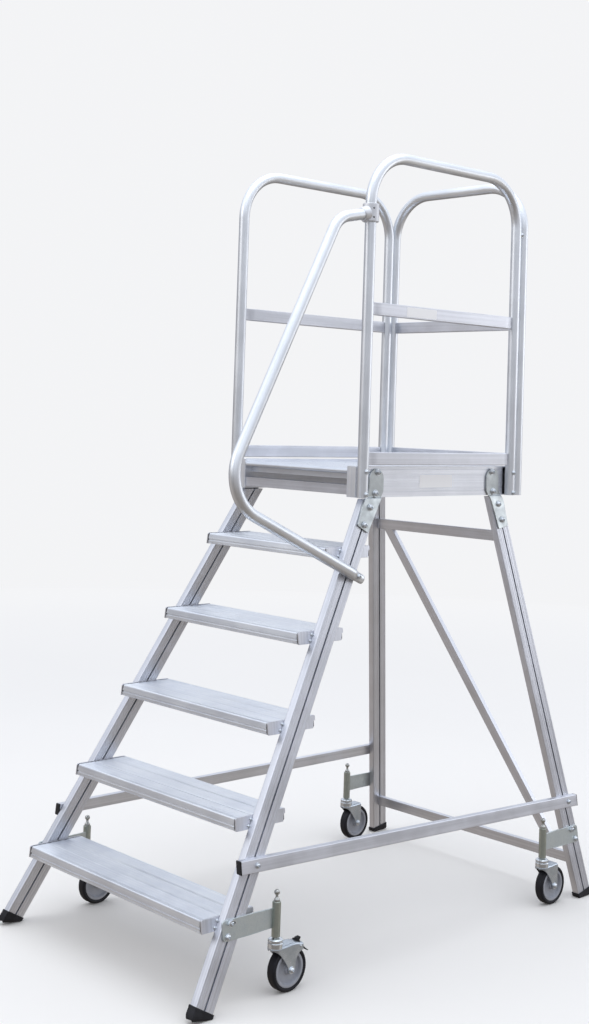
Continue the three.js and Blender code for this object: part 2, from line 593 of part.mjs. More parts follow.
[['front', STRINGER, BRACKET.frontEndY], ['rear', REAR_LEG, BRACKET.backEndY]].forEach(([end, leg, endY]) => {
  addPair(`castor_bracket_${end}`, castorBracket(leg, CASTOR[end], endY), zinc);
  const braked = end === 'front';
  [['right', 1], ['left', -1]].forEach(([side, sign]) => {
    const castor = new THREE.Group();
    castor.position.set(sign * CASTOR[end].x, CASTOR[end].y, 0);
    addPart(`castor_stem_${end}_${side}`, castorStem(), zinc, castor);
    addPart(`castor_fork_${end}_${side}`, castorFork(braked ? 'braked' : 'plain'), zinc, castor);
    addPart(`castor_wheel_${end}_${side}`, castorWheel(), wheelPlastic, castor);
    if (braked) addPart(`brake_pedal_${end}_${side}`, brakePedal(), blackPlastic, castor);
    ladder.add(castor);
  });
});

export default ladder;
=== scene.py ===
"""Looks of the rolling warehouse ladder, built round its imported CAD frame. Metres, +Z up."""
from math import asin, copysign, cos, degrees, exp, hypot, radians, sin, sqrt, tan

import bmesh
import bpy
from mathutils import Matrix, Vector


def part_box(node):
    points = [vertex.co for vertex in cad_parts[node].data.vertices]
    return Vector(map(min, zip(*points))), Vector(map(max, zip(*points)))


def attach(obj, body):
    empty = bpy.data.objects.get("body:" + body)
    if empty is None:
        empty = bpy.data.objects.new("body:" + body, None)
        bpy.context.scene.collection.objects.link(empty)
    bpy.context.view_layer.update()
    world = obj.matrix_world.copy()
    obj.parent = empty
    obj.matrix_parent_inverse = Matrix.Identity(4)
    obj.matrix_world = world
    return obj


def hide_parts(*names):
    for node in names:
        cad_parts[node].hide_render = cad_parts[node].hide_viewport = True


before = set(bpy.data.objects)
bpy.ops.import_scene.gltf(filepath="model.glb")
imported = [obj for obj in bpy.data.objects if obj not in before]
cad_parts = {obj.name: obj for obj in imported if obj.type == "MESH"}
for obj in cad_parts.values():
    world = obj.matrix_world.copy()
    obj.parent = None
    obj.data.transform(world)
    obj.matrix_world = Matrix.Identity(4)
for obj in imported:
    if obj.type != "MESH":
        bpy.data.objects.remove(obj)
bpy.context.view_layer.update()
MM = 0.001
SIDES = (("right", 1), ("left", -1))
X, Y, Z = Vector((1, 0, 0)), Vector((0, 1, 0)), Vector((0, 0, 1))

# ---- sizes that the frame doesn't tell
LEG = dict(width=25 * MM, depth=65 * MM, wall=2.2 * MM, slot=6 * MM, lip=2 * MM, cavity=15 * MM,
           cavity_depth=6 * MM, corner=2.5 * MM)
TUBE = dict(radius=17.5 * MM, wall=2 * MM, sides=40, bend_steps=16)
HOOP_BEND = 155 * MM
BAR = dict(height=36 * MM, thickness=20 * MM, wall=2 * MM, corner=2.5 * MM)
HANDRAIL = dict(clamp_z=2231 * MM, drop=0.213, start_y=-131 * MM, top=(-247 * MM, 2201 * MM),
                low=(-698 * MM, 1365 * MM), end=(-130 * MM, 1104 * MM), bends=(90 * MM, 130 * MM))
WHEEL_RADIUS = 62.5 * MM
TRAIL = 45 * MM
LABEL_THICKNESS = 0.3 * MM
LABEL_LIFT = 0.05 * MM
GUARD_JOINT_Z = 2241 * MM
GUSSET_END_Z = {"front": 1254 * MM, "rear": 1241 * MM}
CASTOR = dict(plate=(183 * MM, 237 * MM), tube=(158 * MM, 255 * MM), tube_bore=8.9 * MM, tube_radius=12 * MM,
              ball=8 * MM, neck=3.6 * MM)
PEDAL_PIVOT = (0, 78 * MM, 130 * MM)
BOLT = dict(head=6.8 * MM, dome=5.2 * MM, washer=9 * MM, washer_height=1.6 * MM)

CAMERA = dict(place=(3.42229, -3.27668, 1.59342), yaw=46.98, pitch=1.83, roll=1.85,
              lens=50.68, sensor=36.0, shift=(-0.0103, -0.1378))


# ---- materials
def node(tree, kind, settings=None, **inputs):
    """A shader node with its settings and its inputs: a value, or another node's output socket."""
    made = tree.nodes.new("ShaderNode" + kind)
    for key, value in (settings or {}).items():
        setattr(made, key, value)
    for key, value in inputs.items():
        socket = made.inputs[int(key[1:])] if key[0] == "i" and key[1:].isdigit() else made.inputs[key]
        if isinstance(value, bpy.types.NodeSocket):
            tree.links.new(value, socket)
        else:
            socket.default_value = value
    return made


def blank(name, **principled):
    """A new material with one Principled shader, whose uniform values are set on its own sockets."""
    material = bpy.data.materials.new(name)
    material.use_nodes = True
    shader = material.node_tree.nodes["Principled BSDF"]
    for key, value in principled.items():
        shader.inputs[key.replace("_", " ")].default_value = value
    return material, material.node_tree, shader


def noise(tree, vector, scale, detail=4.0, roughness=0.55):
    made = node(tree, "TexNoise", Vector=vector, Scale=scale, Detail=detail, Roughness=roughness)
    return made.outputs["Fac"]


def stretched(tree, vector, scales):
    """The vector scaled by a different factor along each axis."""
    return node(tree, "VectorMath", {"operation": "MULTIPLY"}, i0=vector, i1=scales).outputs[0]


def mapped(tree, value, low, high, to_low, to_high):
    made = node(tree, "MapRange", Value=value)
    for key, number in (("From Min", low), ("From Max", high), ("To Min", to_low), ("To Max", to_high)):
        made.inputs[key].default_value = number
    return made.outputs["Result"]


def mixed(tree, factor, dark, light):
    """A colour between two, each of them three numbers or a socket."""
    made = node(tree, "Mix", {"data_type": "RGBA"})
    tree.links.new(factor, made.inputs["Factor"])
    for socket, colour in ((made.inputs[6], dark), (made.inputs[7], light)):
        if isinstance(colour, bpy.types.NodeSocket):
            tree.links.new(colour, socket)
        else:
            socket.default_value = (*colour, 1)
    return made.outputs[2]


def added(tree, first, second, share):
    """first plus share times second."""
    return node(tree, "Math", {"operation": "MULTIPLY_ADD"}, i0=second, i1=share, i2=first).outputs[0]


def coat(tree, shader, colour, roughness, height, strength, distance):
    """Feeds a shader with a colour, a roughness and a fine relief."""
    relief = node(tree, "Bump", Strength=strength, Distance=distance, Height=height)
    tree.links.new(colour, shader.inputs["Base Color"])
    tree.links.new(roughness, shader.inputs["Roughness"])
    tree.links.new(relief.outputs["Normal"], shader.inputs["Normal"])


def grain(tree):
    return node(tree, "Attribute", {"attribute_name": "grain"}).outputs["Vector"]


def place(tree):
    return node(tree, "TexCoord").outputs["Object"]


def aluminium(name, dark, light, rough, lines=(900, 900, 7), strength=0.25, smudge=0.10):
    """Extruded or drawn aluminium: fine lines along the piece, faint die marks and dull handled patches."""
    material, tree, shader = blank(name, Metallic=1.0)
    fine = noise(tree, stretched(tree, grain(tree), lines), 1.0, 3.0)
    coarse = noise(tree, stretched(tree, grain(tree), (150, 150, 1.1)), 1.0, 4.0)
    cloud = noise(tree, place(tree), 6.5, 5.0, 0.6)
    tone = added(tree, mapped(tree, coarse, 0.3, 0.7, 0, 1), mapped(tree, cloud, 0.35, 0.7, -0.5, 0.5), 0.9)
    dull = added(tree, mapped(tree, fine, 0.25, 0.75, rough - 0.05, rough + 0.05),
                 mapped(tree, cloud, 0.4, 0.7, 0, 1), smudge)
    relief = added(tree, fine, coarse, 0.8)
    coat(tree, shader, mixed(tree, tone, dark, light), dull, relief, strength, 0.15 * MM)
    return material


def cast_metal():
    """Fine sand-cast aluminium."""
    material, tree, shader = blank("cast_aluminium", Metallic=1.0)
    grains = noise(tree, place(tree), 900, 3.0)
    cloud = noise(tree, place(tree), 60, 4.0)
    colour = mixed(tree, mapped(tree, cloud, 0.3, 0.7, 0, 1), (0.72, 0.73, 0.76), (0.84, 0.85, 0.88))
    rough = mapped(tree, grains, 0.3, 0.7, 0.42, 0.6)
    coat(tree, shader, colour, rough, added(tree, grains, cloud, 1.5), 0.45, 0.25 * MM)
    return material


def zinc(name, dark, light, rough):
    """Zinc-plated steel: a dull, slightly greenish coat with soft blotches and rolled-sheet texture."""
    material, tree, shader = blank(name, Metallic=1.0)
    blotch = noise(tree, place(tree), 38, 4.0, 0.6)
    sheet = noise(tree, place(tree), 420, 3.0)
    tone = added(tree, mapped(tree, blotch, 0.3, 0.7, 0, 1), mapped(tree, sheet, 0.3, 0.7, -0.5, 0.5), 0.4)
    dull = mapped(tree, tone, 0, 1, rough + 0.09, rough - 0.05)
    relief = added(tree, sheet, blotch, 1.2)
    coat(tree, shader, mixed(tree, tone, dark, light), dull, relief, 0.3, 0.2 * MM)
    return material


def moulded(name, dark, light, rough, pores, strength):
    """Moulded rubber or plastic: fine pores and faint dusty patches."""
    material, tree, shader = blank(name, Metallic=0.0, Specular_IOR_Level=0.35)
    cells = noise(tree, place(tree), pores, 3.0)
    dust = noise(tree, place(tree), 30, 4.0, 0.65)
    tone = added(tree, mapped(tree, dust, 0.4, 0.75, 0, 0.8), mapped(tree, cells, 0.4, 0.7, 0, 1), 0.2)
    dull = mapped(tree, added(tree, dust, cells, 0.5), 0.4, 1.1, rough - 0.08, rough + 0.08)
    coat(tree, shader, mixed(tree, tone, dark, light), dull, cells, strength, 0.2 * MM)
    return material


def label_film():
    """Blank white film with a faint grey cast and a satin face, and a faint white glow that is painted light.
    """
    # Painted light: a faint white emission makes the film glow brighter than the light falling on it.
    material, tree, shader = blank("label_film", Metallic=0.0, Coat_Weight=0.2, Emission_Color=(1, 1, 1, 1),
                                   Emission_Strength=0.12)
    cloud = noise(tree, place(tree), 90, 3.0)
    colour = mixed(tree, cloud, (0.92, 0.93, 0.95), (0.97, 0.97, 0.98))
    coat(tree, shader, colour, mapped(tree, cloud, 0.3, 0.7, 0.42, 0.55), cloud, 0.08, 0.1 * MM)
    return material


PROFILE = aluminium("aluminium_profile", (0.65, 0.665, 0.71), (0.79, 0.805, 0.86), 0.40)
# Painted light: a lighter copy of the profile aluminium, so the platform beams come out brighter than the
# light on them gives.
BEAM_LIT_COPY = aluminium("aluminium_beam_lit_copy", (0.78, 0.80, 0.85), (0.92, 0.94, 0.99), 0.40)
TREAD = aluminium("aluminium_tread", (0.82, 0.86, 0.93), (0.93, 0.96, 1.0), 0.38)
# Painted shade: a darker copy of the tread aluminium, so the deck comes out darker than the light on it
# gives.
DECK_SHADED_COPY = aluminium("aluminium_deck_shaded_copy", (0.66, 0.69, 0.75), (0.77, 0.80, 0.85), 0.38)
ROUND = aluminium("aluminium_tube", (0.79, 0.82, 0.86), (0.91, 0.94, 0.98), 0.38, (900, 900, 9), 0.15, 0.06)
CAST = cast_metal()
ZINC = zinc("zinc_steel", (0.56, 0.61, 0.62), (0.67, 0.725, 0.725), 0.42)
GUSSET = zinc("zinc_gusset", (0.46, 0.49, 0.50), (0.56, 0.60, 0.61), 0.33)
SLEEVE = zinc("zinc_sleeve", (0.42, 0.455, 0.41), (0.52, 0.56, 0.505), 0.40)
PRESSED = zinc("zinc_pressing", (0.44, 0.49, 0.54), (0.58, 0.63, 0.69), 0.28)
STEM = zinc("zinc_stem", (0.46, 0.47, 0.45), (0.58, 0.59, 0.57), 0.26)
BRIGHT_ZINC = zinc("bright_zinc", (0.68, 0.72, 0.76), (0.82, 0.86, 0.90), 0.28)
RUBBER = moulded("black_rubber", (0.010, 0.010, 0.013), (0.032, 0.032, 0.038), 0.66, 1400, 0.3)
TYRE = moulded("tyre_rubber", (0.005, 0.005, 0.008), (0.018, 0.018, 0.026), 0.58, 1100, 0.35)
WHEEL = moulded("wheel_plastic", (0.36, 0.375, 0.415), (0.47, 0.485, 0.525), 0.45, 1600, 0.15)
PLASTIC = moulded("black_plastic", (0.008, 0.008, 0.009), (0.026, 0.026, 0.029), 0.5, 1800, 0.2)
LABEL = label_film()
for slot, materials in (
    ("aluminium_profile", (PROFILE, BEAM_LIT_COPY)),
    ("aluminium_tread", (TREAD, DECK_SHADED_COPY)),
    ("aluminium_tube", (ROUND,)),
    ("cast_aluminium", (CAST,)),
    ("zinc_steel", (ZINC, GUSSET, SLEEVE, PRESSED, STEM, BRIGHT_ZINC)),
    ("black_rubber", (RUBBER,)),
    ("wheel", (TYRE, WHEEL)),
    ("black_plastic", (PLASTIC,)),
):
    for material in materials:
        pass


# ---- outlines
def rounded(corners, radius, steps=3):
    """A closed outline with round corners; a corner's third number is its own radius."""
    made = []
    for i, corner in enumerate(corners):
        own = corner[2] if len(corner) > 2 else radius
        here = Vector(corner[:2])
        before = Vector(corners[i - 1][:2]) - here
        after = Vector(corners[(i + 1) % len(corners)][:2]) - here
        if own <= 0:
            made.append(here)
            continue
        reach = own / tan(before.angle(after) / 2)
        start = here + before.normalized() * min(reach, before.length * 0.49)
        end = here + after.normalized() * min(reach, after.length * 0.49)
        for step in range(steps + 1):
            t = step / steps
            made.append(start * (1 - t) ** 2 + here * (2 * t * (1 - t)) + end * t ** 2)
    return made


def mm(points):
    """Points in millimetres turned into metres."""
    return [tuple(value * MM for value in point) for point in points]


def box_outline(low, high):
    return [(low[0], low[1]), (high[0], low[1]), (high[0], high[1]), (low[0], high[1])]


def arc(centre, radius, start, end, steps):
    """Points on a circle between two angles in degrees."""
    made = []
    for step in range(steps + 1):
        angle = radians(start + (end - start) * step / steps)
        made.append((centre[0] + radius * cos(angle), centre[1] + radius * sin(angle)))
    return made


def circle(radius, sides):
    return arc((0, 0), radius, 0, 360 - 360 / sides, sides - 1)


def notches(along, groove, depth, surface):
    """Points of shallow grooves centred at each place along a flat edge, from first to last."""
    made = []
    for spot in along:
        half = copysign(groove / 2, along[-1] - along[0])
        made.append((spot - half, surface))
        made.append((spot - half * 0.6, surface - depth))
        made.append((spot + half * 0.6, surface - depth))
        made.append((spot + half, surface))
    return made


def spread(first, last, pitch):
    """Places at about the pitch from first to last, both included."""
    count = max(1, round(abs(last - first) / pitch))
    return [first + (last - first) * i / count for i in range(count + 1)]


# ---- meshes
class Piece:
    """A closed mesh under construction. Its vertices keep their place across and along the metal's grain."""

    count = 0

    def __init__(self):
        self.work = bmesh.new()
        self.grain = self.work.verts.layers.float_vector.new("grain")
        Piece.count += 1
        self.offset = Piece.count * 2.7

    def vertex(self, spot, lay):
        made = self.work.verts.new(spot)
        made[self.grain] = (lay[0], lay[1], lay[2] + self.offset)
        return made

    def bridge(self, first, second):
        """Faces between two rings of vertices."""
        for i in range(len(first)):
            j = (i + 1) % len(first)
            corners = list(dict.fromkeys((first[i], first[j], second[j], second[i])))
            if len(corners) > 2:
                self.work.faces.new(corners)

    def cap(self, rings):
        """Closes the first ring, round the other rings as holes."""
        if len(rings) == 1:
            self.work.faces.new(rings[0])
            return
        edges = []
        for ring in rings:
            for i in range(len(ring)):
                edges.append(self.work.edges.get((ring[i - 1], ring[i])))
        bmesh.ops.triangle_fill(self.work, edges=edges, use_beauty=True)

    def sweep(self, stations):
        """Joins sections of (outlines, origin, across, up) into one solid. Later outlines are bores."""
        length = 0.0
        first = before = last = None
        for outlines, origin, across, up in stations:
            if last is not None:
                length += (origin - last).length
            rings = []
            for outline in outlines:
                rings.append([self.vertex(origin + across * a + up * b, (a, b, length)) for a, b in outline])
            if before is None:
                first = rings
            else:
                for one, two in zip(before, rings):
                    self.bridge(one, two)
            before, last = rings, origin
        self.cap(first)
        self.cap(before)
        return self

    def lathe(self, profile, origin, axis=Z, sides=32):
        """Turns (radius, height) points round an axis. They start and end on the axis, or form a loop."""
        axis = Vector(axis).normalized()
        across = axis.orthogonal().normalized()
        up = axis.cross(across)
        rings = []
        for radius, height in profile:
            centre = origin + axis * height
            if radius < 1e-7:
                rings.append([self.vertex(centre, (0, height, 0))] * sides)
                continue
            ring = []
            for a, b in circle(radius, sides):
                ring.append(self.vertex(centre + across * a + up * b, (radius, height, 0.02 * b / radius)))
            rings.append(ring)
        if profile[0][0] > 1e-7:
            rings.append(rings[0])
        for one, two in zip(rings, rings[1:]):
            self.bridge(one, two)
        return self

    def plate(self, outlines, thickness, rule, cuts=()):
        """A plate with holes, bent into place by a rule on (across, up, out), after cuts at some heights."""
        old = set(self.work.verts)
        rings = []
        for out in (0.0, thickness):
            level = []
            for outline in outlines:
                level.append([self.vertex((a, b, out), (a, out, b)) for a, b in outline])
            rings.append(level)
        for one, two in zip(*rings):
            self.bridge(one, two)
        self.cap(rings[0])
        self.cap(rings[1])
        for height in cuts:
            new = [v for v in self.work.verts if v not in old]
            faces = list({f for v in new for f in v.link_faces})
            edges = list({e for v in new for e in v.link_edges})
            geometry = new + edges + faces
            bmesh.ops.bisect_plane(self.work, geom=geometry, plane_co=(0, height, 0), plane_no=Y)
        for v in self.work.verts:
            if v not in old:
                v.co = rule(*v.co)
        return self

    def bolt(self, spot, normal, size=1.0, washer=True, socket=True):
        """A button head bolt on its washer, standing on a surface."""
        head, dome, flange, rise = (BOLT[k] * size for k in ("head", "dome", "washer", "washer_height"))
        base = rise if washer else 0.0
        profile = [(0, -1 * MM), (head * 0.9, -1 * MM), (head * 0.9, 0)]
        if washer:
            profile += [(flange, 0), (flange, rise * 0.7), (flange * 0.95, rise), (head, rise)]
        crown = [(1, 0.35), (0.92, 0.62), (0.72, 0.87), (0.5, 0.98)]
        crown += [(0.42, 1), (0.40, 0.45), (0, 0.4)] if socket else [(0, 1)]
        profile += [(head * a, base + dome * b) for a, b in crown]
        return self.lathe(profile, Vector(spot), normal, 20)

    def finish(self, name, material, body="frame", replaces=(), bevel=0.0, angle=40):
        """The object made from the mesh, riding on its body and shown instead of CAD nodes."""
        bmesh.ops.recalc_face_normals(self.work, faces=self.work.faces)
        mesh = bpy.data.meshes.new(name)
        self.work.to_mesh(mesh)
        self.work.free()
        mesh.materials.append(material)
        mesh.shade_smooth()
        mesh.set_sharp_from_angle(angle=radians(angle))
        made = bpy.data.objects.new(name, mesh)
        bpy.context.scene.collection.objects.link(made)
        if bevel:
            edges = made.modifiers.new("Edges", "BEVEL")
            edges.width = bevel
            edges.segments = 2
            edges.limit_method = "ANGLE"
            edges.angle_limit = radians(angle)
        made.modifiers.new("Shading", "WEIGHTED_NORMAL").keep_sharp = True
        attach(made, body)
        if replaces:
            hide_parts(*replaces)
        return made


def bent_path(corners, radii, steps=TUBE["bend_steps"]):
    """Places and headings along straight runs that are joined by round bends."""
    corners = [Vector(c) for c in corners]
    path = [(corners[0], (corners[1] - corners[0]).normalized())]
    for before, here, after, radius in zip(corners, corners[1:], corners[2:], radii):
        into = (here - before).normalized()
        out = (after - here).normalized()
        turn = into.angle(out)
        start = here - into * radius * tan(turn / 2)
        inward = (out - into * out.dot(into)).normalized()
        for step in range(steps + 1):
            angle = turn * step / steps
            spot = start + into * radius * sin(angle) + inward * radius * (1 - cos(angle))
            path.append((spot, into * cos(angle) + inward * sin(angle)))
    path.append((corners[-1], (corners[-1] - corners[-2]).normalized()))
    return path


def tube_stations(path, sideways):
    """Sections of the round tube along a path that lies in one plane, with that plane's normal."""
    loops = [circle(TUBE["radius"], TUBE["sides"]), circle(TUBE["radius"] - TUBE["wall"], TUBE["sides"])]
    return [(loops, spot, sideways, sideways.cross(heading)) for spot, heading in path]


# ---- legs
def corner_box(points):
    return tuple(Vector(pick(p[i] for p in points) for i in range(3)) for pick in (min, max))


class Leg:
    """The outer face and the centre line of a leg, read from its right-hand CAD node."""

    def __init__(self, name):
        points = [v.co.copy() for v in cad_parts[name + "_right"].data.vertices]
        self.high = max(p.z for p in points)
        top = corner_box([p for p in points if self.high - p.z < MM])
        end = min((p for p in points if p.z < 60 * MM), key=lambda p: (round(p.y, 4), -p.x))
        run = self.high - end.z
        self.outer = top[1].x
        self.centre = (top[0].y + top[1].y) / 2
        self.depth = top[1].y - top[0].y
        self.splay = (end.x - top[1].x) / run
        self.lean = (top[0].y - end.y) / run
        self.square = self.lean / (1 + self.lean ** 2)
        self.low = end.z - self.square * self.depth / 2

    def x(self, z):
        return self.outer + self.splay * (self.high - z)

    def y(self, z):
        return self.centre - self.lean * (self.high - z)

    def section(self, sign, z, outlines, square=False):
        """A section, level or square to the leg, that runs in from the outer face and back across it."""
        up = Y * (self.depth / LEG["depth"])
        if square:
            rise = -self.square * self.depth / LEG["depth"]
            up += Y * (self.lean * rise) + Z * rise - X * (sign * self.splay * rise)
        return outlines, Vector((sign * self.x(z), self.y(z), z)), X * sign, up


STRINGER = Leg("stringer")
REAR_LEG = Leg("rear_leg")


def leg_outlines():
    """Slotted tube: a narrow-mouthed slot along each broad face, a chamber before and one behind."""
    half, mouth, cavity = LEG["depth"] / 2, LEG["slot"] / 2, LEG["cavity"] / 2
    width, lip, deep, wall = LEG["width"], LEG["lip"], LEG["cavity_depth"], LEG["wall"]
    corner, fine = LEG["corner"], 0.5 * MM
    marks = notches([mouth + 7 * MM, half - 13 * MM, half - 7 * MM], 1.6 * MM, 0.6 * MM, 0)
    lines = [(a, b, 0) for b, a in marks]
    before = [(a, -b, 0) for a, b, _ in reversed(lines)]
    outer = [(0, -half, corner), *before, (0, -mouth, fine), (-lip, -mouth, fine), (-lip, -cavity, 0),
             (-deep, -cavity, 0), (-deep, cavity, 0), (-lip, cavity, 0), (-lip, mouth, fine),
             (0, mouth, fine), *lines, (0, half, corner)]
    inner = [(-width - a, -b, r) for a, b, r in outer]
    chambers = []
    for sign in (-1, 1):
        low, high = sorted((sign * (cavity + wall), sign * (half - wall)))
        chambers.append(rounded(box_outline((-width + wall, low), (-wall, high)), 1 * MM, 2))
    return [rounded(outer + inner, corner), *chambers]


def build_leg(leg, node_name, foot_name, top, sole):
    outlines = leg_outlines()
    for side, sign in SIDES:
        stations = [leg.section(sign, leg.low, outlines, True)]
        for z in spread(leg.low + 40 * MM, leg.high, 220 * MM):
            stations.append(leg.section(sign, z, outlines))
        name = f"{node_name}_{side}"
        Piece().sweep(stations).finish(name + "_profile", PROFILE, replaces=[name])
        build_foot(leg, sign, f"{foot_name}_{side}", top, sole)


def build_foot(leg, sign, name, top, sole):
    """Rubber boot square to its leg, with a bead at its mouth, a waist and a rounded, grooved sole."""
    profile = [(0, -3.4), (0.05, -1.2), (0.12, -0.3), (0.22, 0.1), (0.26, -0.5), (0.32, -0.5), (0.36, 0.1),
               (0.72, -0.4), (0.78, 0.0), (0.86, 0.1), (0.95, 0.1), (1, -0.6), (1, -2.7), (0.5, -2.7)]
    half = leg.depth / 2
    boot = Piece()
    rings = []
    for share, change in profile:
        out = (3 + change) * MM
        ring = []
        for a, b in rounded(box_outline((-LEG["width"] - out, -half - out), (out, half + out)), 4 * MM):
            low = [(one, two) for one, two in zip(sole, sole[1:]) if one[0] * MM <= b] or [sole[:2]]
            (b0, z0), (b1, z1) = low[-1]
            bottom = (z0 + (z1 - z0) * min(max((b / MM - b0) / (b1 - b0), 0), 1)) * MM
            z = bottom + (top * MM - leg.square * b - bottom) * share
            ring.append(boot.vertex(Vector((sign * (leg.x(z) + a), leg.y(z) + b, z)), (a, b, z)))
        rings.append(ring)
    for one, two in zip(rings, rings[1:]):
        boot.bridge(one, two)
    boot.cap([rings[0]])
    boot.cap([rings[-1]])
    boot.finish(name + "_boot", RUBBER, replaces=[name], angle=50)


build_leg(STRINGER, "stringer", "foot_front", 27, [(-41, 24), (-36, 12), (-24, 3), (-8, 0), (38, 0), (41, 2)])
build_leg(REAR_LEG, "rear_leg", "foot_rear", 21, [(-37, 4), (-32, 0), (26, 0), (37, 8)])


# ---- treads
def tread_outline(depth, height):
    """Fore-and-aft section: ribbed top, rolled nose over a grooved front band, and an open underside."""
    depth, height = depth / MM, height / MM
    skin, web, drop = 4, 3, 24
    under = [(2, -height), (7, -height), (7, -skin - 5), (12, -skin)]
    for share in (1 / 3, 2 / 3):
        y = depth * share
        under += [(y, -skin), (y, -drop), (y + web, -drop), (y + web, -skin)]
    under += [(depth - web, -skin), (depth - web, -height), (depth, -height), (depth, 0)]
    top = notches(spread(depth - 6, 20, 6), 2.4, 1, 0)
    for y in (depth * 0.36, depth * 0.68):
        top = [(a, b - (0.8 if abs(a - y) < 3 else 0)) for a, b in top]
    nose = [(6, 0), (3.8, -0.7), (2.4, -2.4), (1.9, -5), (0.2, -15)]
    front = [(0, -16), (-0.2, -17.6), (0.5, -18.4), (2.6, -19.2), (2.6, -22), (0.8, -22.8), (0.2, -24),
             (0, -28.6), (1.4, -29.2), (1.4, -30.4), (0, -31), (0, -33.2)]
    return mm(under + top + nose + front)


def build_tread(number):
    name = f"tread_{number}"
    low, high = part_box(name)
    top = number * (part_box("tread_2")[1].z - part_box("tread_1")[1].z)
    depth, height, bracket, gap = high.y - low.y, 34 * MM, 4.5 * MM, 3.5 * MM
    inner = STRINGER.x(top) - LEG["width"] - 0.3 * MM

    def across(outline, first, last):
        stations = []
        for x in (first, last):
            slant = STRINGER.splay * x / inner
            stations.append(([outline], Vector((x, low.y, top)), Y, Z - X * slant))
        return stations

    reach = inner - bracket - gap
    extrusion = Piece().sweep(across(tread_outline(depth, height), -reach, reach))
    extrusion.finish(name + "_extrusion", TREAD, replaces=[name], angle=30)
    plates, shadow_fills, bolts = Piece(), Piece(), Piece()
    # Painted shadow: black strips fill the gap between each extrusion end and its bracket, standing in for
    # the shade there.
    shadow_fill_outline = rounded(box_outline((2 * MM, -height + 2 * MM), (depth - 2 * MM, -2 * MM)), 4 * MM)
    rise, long = (high.z - top) / MM, depth / MM
    low_edge = -height / MM - 1
    corners = mm([(0, low_edge, 3), (long - 9, low_edge, 3), (long - 6, -14, 3), (long, -13, 3),
                  (long, rise, 4), (0, rise, 6)])
    for sign in (-1, 1):
        shadow_fills.sweep(across(shadow_fill_outline, sign * (reach - MM), sign * (inner - bracket + 0.5 * MM)))

        def rule(a, b, out, s=sign):
            return Vector((s * (inner - out - STRINGER.splay * b), low.y + a, top + b))

        plates.plate([rounded(corners, 3 * MM)], bracket, rule)
        for along, down in ((54, -9), (45, -26)):
            x = inner - STRINGER.splay * down * MM
            bolts.bolt((sign * x, low.y + along * MM, top + down * MM), X * sign, 0.6)
    plates.finish(name + "_brackets", PROFILE, bevel=0.6 * MM)
    shadow_fills.finish(name + "_seals", PLASTIC)
    bolts.finish(name + "_bolts", BRIGHT_ZINC)


for number in range(1, 6):
    build_tread(number)


# ---- platform
def straight(name, suffix, material, outlines, ends, across, up=Z):
    """One section from end to end, shown instead of its CAD node."""
    stations = [(outlines, spot, across, up) for spot in ends]
    Piece().sweep(stations).finish(name + suffix, material, replaces=[name], angle=30)


def beam_outlines(inner, outer, low, high):
    """A platform beam's ribbed section and its bore, as (distance out, height) points."""
    wall = 3 * MM
    ribs = notches(spread(low + 26 * MM, high - 19 * MM, 7.5 * MM), 2.0 * MM, 0.9 * MM, outer)
    lines = notches([low + 17 * MM, low + 18 * MM], 2.6 * MM, 1.4 * MM, outer)[:4]
    upper = notches([high - 10 * MM, high - 9 * MM], 3 * MM, 2 * MM, outer)[:4]
    face = [(b, a) for a, b in lines + ribs + upper]
    section = [(inner, low), (outer, low), *face, (outer, high), (inner, high)]
    return [section, box_outline((inner + wall, low + wall), (outer - wall, high - wall))]


def build_side_beams():
    low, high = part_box("platform_side_beam_right")
    outlines = beam_outlines(low.x, high.x, low.z, high.z)
    margin, thickness = 0.5 * MM, 2 * MM
    plate = box_outline((low.x + margin, low.z + margin), (high.x - 3 * MM, high.z - margin))
    for side, sign in SIDES:
        name = f"platform_side_beam_{side}"
        straight(name, "_profile", BEAM_LIT_COPY, outlines, (Y * (low.y + thickness), Y * high.y), X * sign)
        end = Piece()
        rule = lambda a, b, out, s=sign: Vector((s * a, low.y + out, b))
        end.plate([rounded(plate, 2 * MM)], thickness, rule)
        end.finish(name + "_end_plate", TREAD, bevel=0.5 * MM)


def build_rear_beam():
    name = "platform_rear_beam"
    low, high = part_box(name)
    outlines = beam_outlines(low.y, high.y, low.z, high.z)
    straight(name, "_profile", BEAM_LIT_COPY, outlines, (X * low.x, X * high.x), Y)


def build_front_crossbar():
    """A channel with a bright flange along its top edge and fine drawn lines below it."""
    name = "platform_front_crossbar"
    low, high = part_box(name)
    lines = notches(spread(high.z - 6 * MM, low.z + 3 * MM, 3.5 * MM), 1.2 * MM, -0.5 * MM, low.y)
    front = [(b, a) for a, b in lines]
    outline = [(low.y, high.z), (low.y - 1.5 * MM, high.z - 0.2 * MM), (low.y - 1.5 * MM, high.z - 3 * MM),
               (low.y, high.z - 3.6 * MM), *front, (low.y, low.z), (high.y, low.z), (high.y, high.z)]
    bore = box_outline((low.y + 3 * MM, low.z + 3 * MM), (high.y - 3 * MM, high.z - 5 * MM))
    straight(name, "_channel", PROFILE, [outline, bore], (X * low.x, X * high.x), Y)


